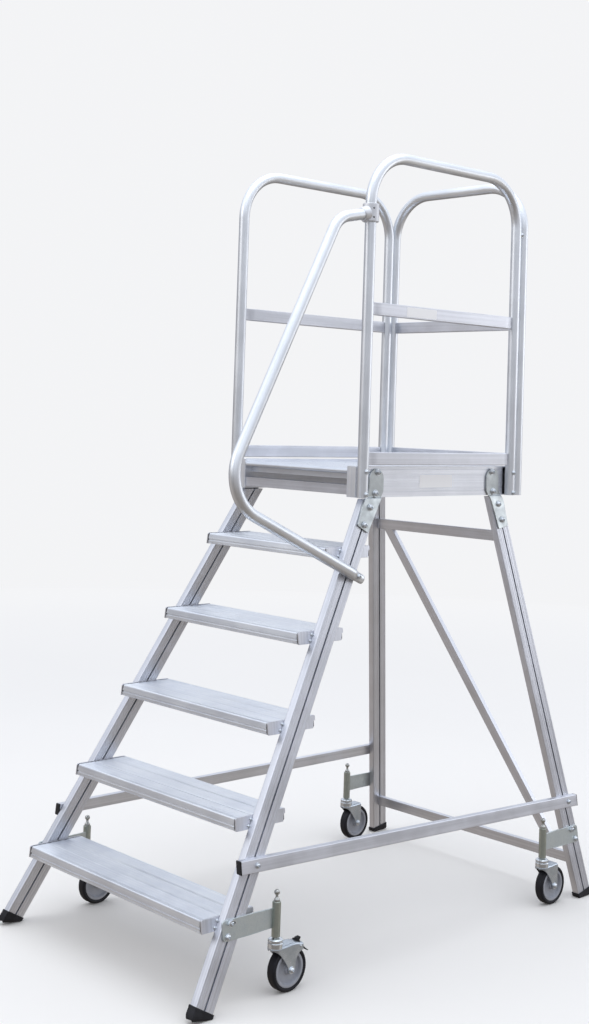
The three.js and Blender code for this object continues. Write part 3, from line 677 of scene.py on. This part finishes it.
def build_deck():
    """Ribbed deck boards with a rolled nose that hangs over a recess."""
    low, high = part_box("platform_deck")
    depth, bottom = (high.y - low.y) / MM, (low.z - high.z) / MM
    skin, web, heel = 5, 4, 30
    under = [(heel, -17), (heel, bottom), (heel + web, bottom), (heel + web, -skin)]
    for y in spread(heel + 100, depth - 70, 100):
        under += [(y, -skin), (y, bottom), (y + web, bottom), (y + web, -skin)]
    under += [(depth - web, -skin), (depth - web, bottom), (depth, bottom), (depth, 0)]
    top = notches(spread(depth - 8, 26, 7), 2.4, 1, 0)
    nose = []
    for t in range(0, 91, 9):
        nose.append((12 * (1 - sin(radians(t))), -10 * (1 - cos(radians(t)))))
    nose += arc((7, -10), 7, 180, 270, 6)
    outline = mm(under + top + nose)
    ends = [Vector((x, low.y, high.z)) for x in (low.x, high.x)]
    straight("platform_deck", "_boards", DECK_SHADED_COPY, [outline], ends, Y)


build_side_beams()
build_rear_beam()
build_front_crossbar()
build_deck()


# ---- guard hoops and rails
def build_hoop(name, corners, sideways):
    path = bent_path(corners, [HOOP_BEND, HOOP_BEND])
    Piece().sweep(tube_stations(path, sideways)).finish(name + "_tube", ROUND, replaces=[name], angle=50)


def bar_outline(height=BAR["height"]):
    """Rectangular tube seen along its length: thickness first, then height."""
    half, wall = (BAR["thickness"] / 2, height / 2), BAR["wall"]
    outer = rounded(box_outline((-half[0], -half[1]), half), BAR["corner"])
    bore = rounded(box_outline((-half[0] + wall, -half[1] + wall), (half[0] - wall, half[1] - wall)), 1 * MM)
    return [outer, bore]


def build_rail(name, axis):
    """A rail between two posts, pressed narrower over its last few centimetres at each end."""
    low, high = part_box(name)
    middle = (low + high) / 2
    across = X if axis is Y else Y
    half = (high - low).dot(axis) / 2
    loops = bar_outline(high.z - low.z)
    stations = []
    pressed = ((half, 0.5), (half - 18 * MM, 0.55), (half - 38 * MM, 1))
    for along, width in [(-a, w) for a, w in pressed] + list(reversed(pressed)):
        stations.append((loops, middle + axis * along, across * width, Z))
    Piece().sweep(stations).finish(name + "_bar", PROFILE, replaces=[name], angle=30)


def build_guard():
    right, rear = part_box("guard_hoop_right"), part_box("guard_hoop_rear")
    radius = TUBE["radius"]
    x = (right[0].x + right[1].x) / 2
    front, back, low, high = right[0].y + radius, right[1].y - radius, right[0].z, right[1].z - radius
    for side, sign in SIDES:
        corners = [(sign * x, y, z) for y, z in ((front, low), (front, high), (back, high), (back, low))]
        build_hoop(f"guard_hoop_{side}", corners, X)
    y = (rear[0].y + rear[1].y) / 2
    build_hoop("guard_hoop_rear", [(-x, y, low), (-x, y, high), (x, y, high), (x, y, low)], Y)
    for kind in ("mid_rail", "toe_board"):
        for side, _ in SIDES:
            build_rail(f"{kind}_{side}", Y)
        build_rail(f"{kind}_rear", X)
    levels = [sum(corner.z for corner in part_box(f"{kind}_rear")) / 2 for kind in ("mid_rail", "toe_board")]
    for side, sign in SIDES:
        bolts = Piece()
        for along, rise in ((front, 81), (front, 11), (back, 76), (back, 8)):
            bolts.bolt((sign * (x + radius - 0.8 * MM), along, low + rise * MM), X * sign, 0.95)
        bolts.bolt((sign * (x - radius + 0.8 * MM), front, low + 95 * MM), X * -sign, 0.8)
        for height in levels:
            bolts.bolt((sign * x, y + radius - 0.8 * MM, height), Y, 0.85)
        bolts.bolt((sign * (x + radius * 0.6), (back + y) / 2, GUARD_JOINT_Z), X * sign, 0.9)
        bolts.finish(f"guard_bolts_{side}", BRIGHT_ZINC)


build_guard()


# ---- gusset plates
def build_gusset(name, leg, end):
    """A zinc plate in one piece: a round lobe on the side beam, a soft set, and a band along the leg."""
    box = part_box(name + "_right")
    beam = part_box("platform_side_beam_right")[1]
    low, high = leg.high + 0.6 * MM, leg.high + 8 * MM
    half_lobe, half_band, narrow, thickness = 32 * MM, 32 * MM, 25 * MM, 5 * MM
    shift = copysign(20 * MM, leg.lean)
    lobe_y = leg.y(leg.high) + shift
    square = Vector((1.0, -leg.lean)).normalized()
    across = half_band / square.x

    def edge(side, z):
        return (leg.y(z) + side * across, z)

    def band_end(side):
        return (leg.y(end) + side * narrow * square.x, end + side * narrow * square.y, 7 * MM)

    lobe = arc((lobe_y, box[1].z - half_lobe), half_lobe, 0, 180, 20)
    soft, above, below = 30 * MM, high + 14 * MM, low - 14 * MM
    outline = [band_end(-1), band_end(1), (*edge(1, below), soft), (lobe_y + half_lobe, above, soft),
               *[(a, b, 0) for a, b in lobe], (lobe_y - half_lobe, above, soft), (*edge(-1, below), soft)]
    outline = rounded(outline, 6 * MM, 5)

    def surface(z):
        share = min(max((z - low) / (high - low), 0), 1)
        share = share * share * (3 - 2 * share)
        return (leg.x(min(z, low)) + 0.3 * MM) * (1 - share) + (beam.x + 0.3 * MM) * share

    cuts = [low + (high - low) * i / 6 for i in range(7)]
    for side, sign in SIDES:
        plate = Piece()
        rule = lambda a, b, out, s=sign: Vector((s * (surface(b) + out), a, b))
        plate.plate([outline], thickness, rule, cuts)
        plate.finish(f"{name}_{side}_plate", GUSSET, replaces=[f"{name}_{side}"], bevel=0.8 * MM, angle=30)
        bolts = Piece()
        heights = (box[1].z - 10 * MM, leg.high + 18 * MM, leg.high - 25 * MM, leg.high - 78 * MM)
        for i, z in enumerate(heights):
            y = leg.y(z) if i > 1 else lobe_y + (0.25 * shift if i == 0 else -0.2 * shift)
            bolts.bolt((sign * (surface(z) + thickness), y, z), X * sign, 1.3)
        bolts.finish(f"{name}_{side}_bolts", BRIGHT_ZINC)


build_gusset("gusset_front", STRINGER, GUSSET_END_Z["front"])
build_gusset("gusset_rear", REAR_LEG, GUSSET_END_Z["rear"])


# ---- handrail and clamp
def build_handrail():
    """The rail's plane leans out from the hoop's post to the stringer's outer face."""
    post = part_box("guard_hoop_right")
    clamp_x = (post[0].x + post[1].x) / 2
    clamp_y = post[0].y + TUBE["radius"]
    end_y, end_z = HANDRAIL["end"]
    foot_x = STRINGER.x(end_z) + TUBE["radius"] + MM
    lean = (foot_x - clamp_x) / (HANDRAIL["clamp_z"] - end_z)

    def on_plane(y, z):
        return Vector((clamp_x + (HANDRAIL["clamp_z"] - z) * lean, y, z))

    drop = (clamp_y - HANDRAIL["start_y"]) * HANDRAIL["drop"]
    start = on_plane(HANDRAIL["start_y"], HANDRAIL["clamp_z"] - drop)
    corners = [start, on_plane(*HANDRAIL["top"]), on_plane(*HANDRAIL["low"]), on_plane(end_y, end_z)]
    sideways = Vector((1, 0, lean)).normalized()
    stations = tube_stations(bent_path(corners, HANDRAIL["bends"], 24), sideways)
    loops, end, across, up = stations.pop()
    heading = (corners[3] - corners[2]).normalized()
    flattened = ((60, 1, 1), (48, 0.94, 0.99), (36, 0.72, 0.93), (26, 0.62, 0.86), (6, 0.62, 0.84),
                 (1, 0.58, 0.78), (0, 0.5, 0.7))
    for back, flat, tall in flattened:
        shift = (1 - flat) * TUBE["radius"] * 0.9
        stations.append((loops, end - heading * back * MM - X * shift, across * flat, up * tall))
    Piece().sweep(stations).finish("handrail_right_tube", ROUND, replaces=["handrail_right"], angle=60)
    bolts = Piece()
    hole = end - heading * 30 * MM
    bolts.bolt((hole.x + TUBE["radius"] * 0.34, hole.y, hole.z), X, 1.1)
    bolts.finish("handrail_foot_bolt", BRIGHT_ZINC)
    build_clamp(Vector((clamp_x, clamp_y, HANDRAIL["clamp_z"])), start)


def build_clamp(centre, rail_start):
    """Cast tee: a collar on the post, a socket that takes the rail, and two set screws."""
    low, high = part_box("handrail_clamp")
    outer, bore, half = high.x - centre.x, TUBE["radius"] + 0.4 * MM, (high.z - low.z) / 2
    collar = Piece()
    upper = [(outer, half - 2 * MM), (outer - 2 * MM, half), (bore + 1.5 * MM, half), (bore, half - MM)]
    collar.lathe([(r, -h) for r, h in reversed(upper)] + upper, centre, Z, 40)
    towards = (rail_start - centre).normalized()
    towards = Vector((0, towards.y, towards.z)).normalized()
    reach = centre.y - low.y - 1.5 * MM
    socket = 20.8 * MM
    sleeve = [(bore, 19 * MM), (socket + 3.5 * MM, 19 * MM), (socket + 2.6 * MM, 24 * MM),
              (socket + 0.6 * MM, 31 * MM), (socket, reach - 2.5 * MM), (socket - 1.5 * MM, reach),
              (bore, reach)]
    collar.lathe(sleeve, centre, towards, 40)
    collar.finish("handrail_clamp_casting", CAST, replaces=["handrail_clamp"], angle=45)
    screws = Piece()
    slant = Vector((0.92, -0.39, 0))
    for height in (-half * 0.55, half * 0.45):
        screws.bolt(centre + slant * (outer - 1.2 * MM) + Z * height, slant, 0.45, washer=False)
    screws.finish("handrail_clamp_screws", PLASTIC)


build_handrail()


# ---- braces of the frame
def end_middles(name, axis):
    """Middles of a CAD node's two end faces along an axis, and its size across them."""
    points = [v.co.copy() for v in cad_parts[name].data.vertices]
    ends = []
    for level in (min(p[axis] for p in points), max(p[axis] for p in points)):
        box = corner_box([p for p in points if abs(p[axis] - level) < 0.1 * MM])
        ends.append((box[0] + box[1]) / 2)
    return ends


def build_side_brace(side, sign):
    """Flat tube bolted across the outside of the two legs, with a black cap in each end."""
    name = f"side_brace_{side}"
    first, last = end_middles(name, 1)
    splay = (STRINGER.splay + REAR_LEG.splay) / 2
    up = Z - X * sign * splay
    straight(name, "_bar", PROFILE, bar_outline(), (first, last), X, up)
    run = (last - first).normalized()
    half = (BAR["thickness"] / 2, BAR["height"] / 2)
    caps = Piece()
    for spot, out in ((first, -1), (last, 1)):
        stations = []
        for along, grow in ((-8, -2.4), (0, -2.4), (0.05, 0.2), (2, 0.2), (3.4, -0.8), (4, -2.4)):
            size = (half[0] + grow * MM, half[1] + grow * MM)
            loop = rounded(box_outline((-size[0], -size[1]), size), 2 * MM)
            stations.append(([loop], spot + run * (out * along * MM), X, up))
        caps.sweep(stations)
    caps.finish(name + "_caps", PLASTIC, angle=40)
    bolts = Piece()
    for leg in (STRINGER, REAR_LEG):
        z = first.z
        for _ in range(4):
            share = (leg.y(z) - first.y) / (last.y - first.y)
            z = first.z + (last.z - first.z) * share
        centre = first + (last - first) * share
        bolts.bolt((centre.x + sign * half[0], centre.y, centre.z), X * sign, 1.0)
    bolts.finish(name + "_bolts", BRIGHT_ZINC)


def build_crossbar(name):
    first, last = end_middles(name, 0)
    stations = []
    for spot, sign in ((first, -1), (last, 1)):
        level = spot.z
        spot = Vector((sign * (REAR_LEG.x(level) - LEG["width"] - 0.3 * MM), REAR_LEG.y(level), level))
        up = Vector((-sign * REAR_LEG.splay, REAR_LEG.lean, 1))
        stations.append((bar_outline(), spot, Y, up))
    Piece().sweep(stations).finish(name + "_bar", PROFILE, replaces=[name], angle=30)
    return first.z


def build_rear_bracing():
    upper = build_crossbar("rear_crossbar_upper")
    lower = build_crossbar("rear_crossbar_lower")
    name = "rear_diagonal"
    first, last = end_middles(name, 2)
    run = last - first
    level_width = BAR["height"] * hypot(run.x, run.z) / abs(run.z)
    stations = []
    for spot in (first, last):
        outlines = [[(b * level_width / BAR["height"], a * 0.95) for a, b in bar_outline()[0]]]
        stations.append((outlines, spot, X, Y))
    Piece().sweep(stations).finish(name + "_bar", PROFILE, replaces=[name], angle=30)
    bolts = Piece()
    back = Vector((0, 1, -REAR_LEG.lean)).normalized()
    for spot, level, way in ((first, lower, 1), (last, upper, -1)):
        z = spot.z + way * 22 * MM
        x = first.x + (z - first.z) * run.x / run.z
        bolts.bolt((x, REAR_LEG.y(z) + BAR["thickness"] / 2 * hypot(1, REAR_LEG.lean), z), back, 0.9)
    bolts.finish(name + "_bolts", BRIGHT_ZINC)


for side, sign in SIDES:
    build_side_brace(side, sign)
build_rear_bracing()


# ---- spring castors
def build_castor_bracket(name, leg, sign, centre):
    """A plate that leaves the leg's leaning face and turns upright where it is welded to the tube."""
    low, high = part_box(name)
    away = -1 if high.y - centre.y < centre.y - low.y else 1
    end = low.y if away < 0 else high.y
    (bottom, top), thickness = CASTOR["plate"], 5 * MM
    near = centre.y + away * 9 * MM
    corners = [(near, bottom, 1 * MM), (end, bottom, 12 * MM), (end, top, 12 * MM), (near, top, 1 * MM)]
    stretch = abs(end - near)
    middle = (bottom + top) / 2

    def rule(a, b, out):
        share = min(max(abs(a - near) / stretch / 0.45, 0), 1)
        share = share * share * (3 - 2 * share)
        leaning = leg.x(b)
        upright = leg.x(middle) - 0.2 * MM
        return Vector((sign * (leaning * share + upright * (1 - share) + 0.3 * MM + out), a, b))

    plate = Piece()
    outline = []
    points = rounded(corners, 12 * MM, 6)
    for i, point in enumerate(points):
        following = points[(i + 1) % len(points)]
        parts = max(1, int((following - point).length / (14 * MM)))
        outline += [point + (following - point) * k / parts for k in range(parts)]
    plate.plate([outline], thickness, rule)
    plate.finish(name + "_plate", ZINC, replaces=[name], bevel=1.2 * MM, angle=30)
    tube = Piece()
    bore, outer = CASTOR["tube_bore"], CASTOR["tube_radius"]
    first, last = CASTOR["tube"]
    tube.lathe([(bore, first + MM), (bore + MM, first), (outer - MM, first), (outer, first + MM),
                (outer, last - MM), (outer - MM, last), (bore + MM, last), (bore, last - MM)],
               Vector((centre.x, centre.y, 0)), Z, 36)
    tube.finish(name + "_tube", SLEEVE, angle=35)
    bolts = Piece()
    for along, z in ((17, 194), (31, 226)):
        y = end - away * along * MM
        upper = rule(y, z * MM, thickness)
        bolts.bolt(upper, X * sign, 1.15)
    hood = []
    strip = box_outline((-0.5 * MM, -1.1 * MM), (7.5 * MM, 1.1 * MM))
    for t in range(-10, 191, 10):
        angle = radians(t)
        ring = Vector((0, cos(angle) * 12.5 * MM, sin(angle) * 9.5 * MM))
        heading = Vector((0, -sin(angle), cos(angle)))
        hood.append(([strip], upper + ring, X * sign, X.cross(heading)))
    bolts.sweep(hood)
    bolts.finish(name + "_bolts", BRIGHT_ZINC)


def build_stem(name, centre):
    """Sliding stem with a rounded shoulder, a narrow neck and a ball end."""
    low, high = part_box(name)
    radius, ball, neck = (high.x - low.x) / 2, CASTOR["ball"], CASTOR["neck"]
    ball_z = high.z - ball
    profile = [(0, low.z), (radius, low.z), (radius, 259 * MM), (radius - 0.8 * MM, 261.5 * MM),
               (radius - 3 * MM, 263.5 * MM), (neck + 0.6 * MM, 266.5 * MM), (neck, 268.5 * MM)]
    start = degrees(asin(neck / ball))
    for step in range(15):
        angle = radians(180 - start - (180 - start) * step / 14)
        profile.append((max(ball * sin(angle), 0), ball_z + ball * cos(angle)))
    profile[-1] = (0, ball_z + ball)
    turned = Piece().lathe(profile, Vector((centre.x, centre.y, 0)), Z, 32)
    turned.finish(name + "_turned", STEM, name, replaces=[name], angle=50)


FORK_FRONT = ((-22, 125), (-17, 124), (-6, 118), (5, 108), (15, 96), (23, 85), (30, 74), (33, 62.5))
FORK_BACK = {
    "braked": ((57, 62.5), (58.5, 74), (61, 86), (66, 98), (74, 106), (88, 112)),
    "plain": ((57, 62.5), (58, 74), (59, 92), (60, 110)),
}
FORK_STATIONS = (-21.5, -20.5, -18, -14, -9, -3, 4, 11, 18, 25, 29, 31, 33, 35, 38, 41, 45, 49, 52, 55, 57,
                 58.5, 60, 63, 68, 74, 80, 86.5, 88)


def along_edge(edge, y):
    """The height of an edge, given by its points, at a distance behind the stem."""
    for (y0, z0), (y1, z1) in zip(edge, edge[1:]):
        if y <= y1:
            return z0 + (z1 - z0) * max(y - y0, 0) / (y1 - y0)
    return edge[-1][1]


def fork_section(y, kind):
    """The pressed fork's inverted U at a distance behind the stem. Its skirts reach down to the axle."""
    nose = max(0.0, (-y - 3) / 18.5)
    half = 21 * sqrt(max(1 - nose ** 2, 0.1))
    top = 133 - 4 * nose ** 2 + 2 * exp(-((y - 50) / 16) ** 2) - max(0, y - 66) * 0.16
    if y < 33:
        low = along_edge(FORK_FRONT, y)
    elif y < 57:
        low = 62.5 - sqrt(144 - (y - 45) ** 2) * 0.999
    else:
        low = along_edge(FORK_BACK[kind], y)
    low = min(low, top - 7)
    corner = min(8.0, half * 0.5)
    thick = 3.6
    outer = [(-half, low, 0), (-half, top, corner), (half, top, corner), (half, low, 0)]
    within, under = half - thick, top - thick
    inner = [(within, low, 0), (within, under, corner - 2), (-within, under, corner - 2), (-within, low, 0)]
    return mm(rounded(outer + inner, 0, 5))


def build_fork(name, centre, kind):
    """Pressed fork: a two-race swivel head, a dished crown, two tapering arms and the axle bolt."""
    low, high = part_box(name)
    outer = (high.x - low.x) / 2 - 5 * MM
    inner = outer - 4 * MM
    axis = Vector((centre.x, centre.y, 0))
    top, floor = high.z / MM, 128
    races = [(21.6, 13), (20.6, 11.6), (18.8, 11.2), (18.8, 10.2), (21, 9.4), (21.4, 8), (21, 3.6),
             (18.6, 1.2), (14, 0), (0, 0)]
    head = Piece()
    head.lathe(mm([(0, floor), (20.2, floor), (21.4, floor + 2)] + [(r, top - down) for r, down in races]),
               axis, Z, 40)
    head.finish(name + "_head", BRIGHT_ZINC, name, angle=35)
    last = FORK_BACK[kind][-1][0]
    stations = [([fork_section(y, kind)], axis + Y * (y * MM), X, Z) for y in FORK_STATIONS if y <= last]
    shell = Piece().sweep(stations)
    shell.finish(name + "_pressing", PRESSED, name, replaces=[name], bevel=0.7 * MM, angle=50)
    bolts = Piece()
    hub = axis + Vector((0, TRAIL, WHEEL_RADIUS))
    bolts.bolt(hub + X * outer, X, 1.12)
    bolts.bolt(hub - X * outer, -X, 1.12, socket=False)
    spacer = mm([(0, 0), (7.5, 0), (7.5, 1.6), (0, 1.6)])
    for sign in (-1, 1):
        bolts.lathe(spacer, hub + X * (sign * (inner - 1.7 * MM)), X, 24)
        if kind == "braked":
            pin = axis + Vector((sign * outer, 78 * MM, 122 * MM))
            bolts.bolt(pin, X * sign, 0.5, washer=False, socket=False)
    bolts.finish(name + "_bolts", BRIGHT_ZINC, name)


def build_wheel(name):
    """Black tyre on a grey disc with a raised rim ring, a recessed web and a hub."""
    low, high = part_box(name)
    hub = (low + high) / 2
    half, radius = (high.x - low.x) / 2 / MM, (high.z - low.z) / 2 / MM
    tyre = [(50.5, -half + 2.5), (55, -half + 0.6), (radius - 6, -half)]
    for t in (25, 50, 75):
        turn = radians(t)
        tyre.append((radius - 6 + 6 * sin(turn), -half + 6 - 6 * cos(turn)))
    tyre += [(radius - 0.1, -4), (radius - 0.1, 4)]
    tyre += [(r, -h) for r, h in reversed(tyre[:6])]
    tyre += [(50.5, 0)]
    Piece().lathe(mm(tyre), hub, X, 96).finish(name + "_tyre", TYRE, name, angle=50)
    half_disc = [(6.4, half - 1), (7.4, half), (12.5, half), (14, half - 1.5), (14.6, 5), (17, 3.5),
                 (36, 3.5), (40, 4.5), (42.5, half - 3.5), (43.6, half - 1.6), (49, half - 1.4),
                 (50.6, half - 2.6)]
    disc = half_disc + [(r, -h) for r, h in reversed(half_disc)]
    Piece().lathe(mm(disc), hub, X, 72).finish(name + "_disc", WHEEL, name, replaces=[name], angle=35)


def build_pedal(name, centre):
    """Rocker pedal: a short ribbed pad above the fork and a thin release blade behind it."""
    axis = Vector((centre.x, centre.y, 0))
    pad = [(74, 131, 1), (76, 138.6, 1), (78.6, 140.6, 0.5), (80.2, 139.4, 0.3), (82.2, 141.2, 0.5),
           (83.8, 140, 0.3), (88, 141.8, 0.8), (90, 138, 1.5), (84, 131, 2)]
    blade = [(78, 133, 2), (75, 128, 2), (96, 112.4, 6), (104, 103.4, 5), (120, 95, 0.8), (119.4, 97.8, 0.8),
             (106, 108, 6), (84, 131, 3)]
    piece = Piece()
    reach = 6 * MM
    rule = lambda a, b, out: axis + Vector((out - reach, a, b))
    for outline in (pad, blade):
        piece.plate([mm(rounded(outline, 2, 3))], 2 * reach, rule)
    barrel = mm([(0, -14), (4, -14), (5, -13), (5, 13), (4, 14), (0, 14)])
    piece.lathe(barrel, axis + Vector(PEDAL_PIVOT), X, 24)
    piece.finish(name + "_moulding", PLASTIC, name, replaces=[name], bevel=0.6 * MM, angle=35)


for end, leg in (("front", STRINGER), ("rear", REAR_LEG)):
    for side, sign in SIDES:
        label = f"{end}_{side}"
        stem_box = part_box("castor_stem_" + label)
        centre = (stem_box[0] + stem_box[1]) / 2
        build_castor_bracket("castor_bracket_" + label, leg, sign, centre)
        build_stem("castor_stem_" + label, centre)
        build_fork("castor_fork_" + label, centre, "braked" if end == "front" else "plain")
        build_wheel("castor_wheel_" + label)
        if end == "front":
            build_pedal("brake_pedal_" + label, centre)


# ---- blank labels
def build_label(name, low, high, rule):
    """A blank film with round corners. The rule takes (along, height, out)."""
    outline = rounded(box_outline(low, high), 2.5 * MM, 4)
    Piece().plate([outline], LABEL_THICKNESS, rule).finish(name, LABEL, angle=30)


beam_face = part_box("platform_side_beam_right")[1].x + LABEL_LIFT
build_label("label_beam", (172 * MM, 1378 * MM), (330 * MM, 1418 * MM),
            lambda a, b, out: Vector((beam_face + out, a, b)))
rail_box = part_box("mid_rail_right")
build_label("label_mid_rail", (60 * MM, rail_box[0].z + 5 * MM), (200 * MM, rail_box[1].z - 5 * MM),
            lambda a, b, out: Vector((rail_box[1].x + LABEL_LIFT + out, a, b)))


# ---- floor, light and camera
BACKDROP = (0.90, 0.905, 0.92, 1)


def build_floor():
    """A wide pale floor with a faint, even mottle, which fades into the backdrop far from the ladder."""
    bpy.ops.mesh.primitive_grid_add(x_subdivisions=4, y_subdivisions=4, size=400)
    floor = bpy.context.active_object
    floor.name = "floor"
    material, tree, shader = blank("floor_paint", Metallic=0.0, Specular_IOR_Level=0.2,
                                   Emission_Color=BACKDROP)
    cloud = noise(tree, place(tree), 0.6, 3.0)
    paint = mixed(tree, cloud, (0.84, 0.815, 0.775), (0.87, 0.845, 0.805))
    away = node(tree, "VectorMath", {"operation": "LENGTH"}, i0=place(tree)).outputs["Value"]
    fade = mapped(tree, away, 3.2, 8.5, 0, 1)
    tree.links.new(mixed(tree, fade, paint, (0, 0, 0)), shader.inputs["Base Color"])
    tree.links.new(fade, shader.inputs["Emission Strength"])
    wear = mapped(tree, noise(tree, place(tree), 40, 2.0), 0, 1, 0.6, 0.7)
    tree.links.new(wear, shader.inputs["Roughness"])
    tree.links.new(mapped(tree, fade, 0, 1, 0.2, 0), shader.inputs["Specular IOR Level"])
    floor.data.materials.append(material)
    floor.visible_glossy = False
    floor.visible_diffuse = False


def build_world():
    """Pale to the camera. For light and reflections a gradient, cool overhead, and dim and warm patches."""
    world = bpy.data.worlds.new("studio")
    bpy.context.scene.world = world
    world.use_nodes = True
    tree = world.node_tree
    background = tree.nodes["Background"]
    direction = node(tree, "TexCoord").outputs["Generated"]
    height = node(tree, "SeparateXYZ", i0=direction)
    ramp = node(tree, "ValToRGB", Fac=mapped(tree, height.outputs["Z"], -1, 1, 0, 1))
    stops = ((0.0, (0.24, 0.215, 0.195)), (0.44, (0.25, 0.225, 0.205)), (0.485, (0.46, 0.46, 0.49)),
             (0.55, (0.52, 0.53, 0.57)), (0.66, (0.86, 0.90, 0.98)), (1.0, (1.00, 1.05, 1.16)))
    elements = ramp.color_ramp.elements
    while len(elements) < len(stops):
        elements.new(0.5)
    for element, (position, colour) in zip(elements, stops):
        element.position = position
        element.color = (*colour, 1)

    def facing(heading):
        """How nearly a direction points along a heading."""
        turned = node(tree, "VectorMath", {"operation": "DOT_PRODUCT"}, i0=direction, i1=heading)
        return turned.outputs["Value"]

    towards = mapped(tree, facing((-0.70, -0.70, 0)), 0.2, 0.9, 0, 0.75)
    low = node(tree, "Math", {"operation": "ABSOLUTE"}, i0=height.outputs["Z"]).outputs[0]
    level = mapped(tree, low, 0.12, 0.42, 1, 0)
    patch = node(tree, "Math", {"operation": "MULTIPLY"}, i0=towards, i1=level).outputs[0]
    around = mixed(tree, patch, ramp.outputs["Color"], (0.16, 0.165, 0.195))
    patches = (((-0.67, -0.60, -0.43), 0.78, 0.96, (0.45, 0.41, 0.38)),
               ((0.55, 0.65, -0.53), 0.88, 0.99, (0.55, 0.52, 0.49)))
    for heading, edge, middle, colour in patches:
        around = mixed(tree, mapped(tree, facing(heading), edge, middle, 0, 1), around, colour)
    seen = node(tree, "LightPath").outputs["Is Camera Ray"]
    tree.links.new(mixed(tree, seen, around, BACKDROP[:3]), background.inputs["Color"])


def area_light(name, spot, target, size, power, colour):
    data = bpy.data.lights.new(name, "AREA")
    data.shape = "RECTANGLE"
    data.size, data.size_y = size
    data.energy = power
    data.color = colour
    light = bpy.data.objects.new(name, data)
    bpy.context.scene.collection.objects.link(light)
    light.location = spot
    light.rotation_euler = (Vector(target) - Vector(spot)).to_track_quat("-Z", "Y").to_euler()


def build_lights():
    area_light("overhead", (0.2, 0.0, 5.2), (0, 0, 1), (4.5, 3.5), 55, (0.92, 0.96, 1.0))
    area_light("key", (-1.5, -5.0, 3.6), (0, 0, 1.2), (4.0, 3.0), 45, (1.0, 0.98, 0.96))
    area_light("side", (3.6, 6.2, 2.3), (0, 0, 1.4), (4.5, 2.2), 42, (0.97, 0.98, 1.0))


def build_camera():
    yaw, pitch, roll = (radians(CAMERA[k]) for k in ("yaw", "pitch", "roll"))
    ahead = Vector((-sin(yaw) * cos(pitch), cos(yaw) * cos(pitch), sin(pitch)))
    level = ahead.cross(Z).normalized()
    over = level.cross(ahead)
    right = level * cos(roll) + over * sin(roll)
    up = over * cos(roll) - level * sin(roll)
    data = bpy.data.cameras.new("camera")
    data.lens = CAMERA["lens"]
    data.sensor_width = CAMERA["sensor"]
    data.shift_x, data.shift_y = CAMERA["shift"]
    camera = bpy.data.objects.new("camera", data)
    bpy.context.scene.collection.objects.link(camera)
    turn = Matrix((right, up, -ahead)).transposed().to_4x4()
    camera.matrix_world = Matrix.Translation(CAMERA["place"]) @ turn
    bpy.context.scene.camera = camera


build_floor()
build_world()
build_lights()
build_camera()
bpy.context.scene.view_settings.view_transform = "Standard"
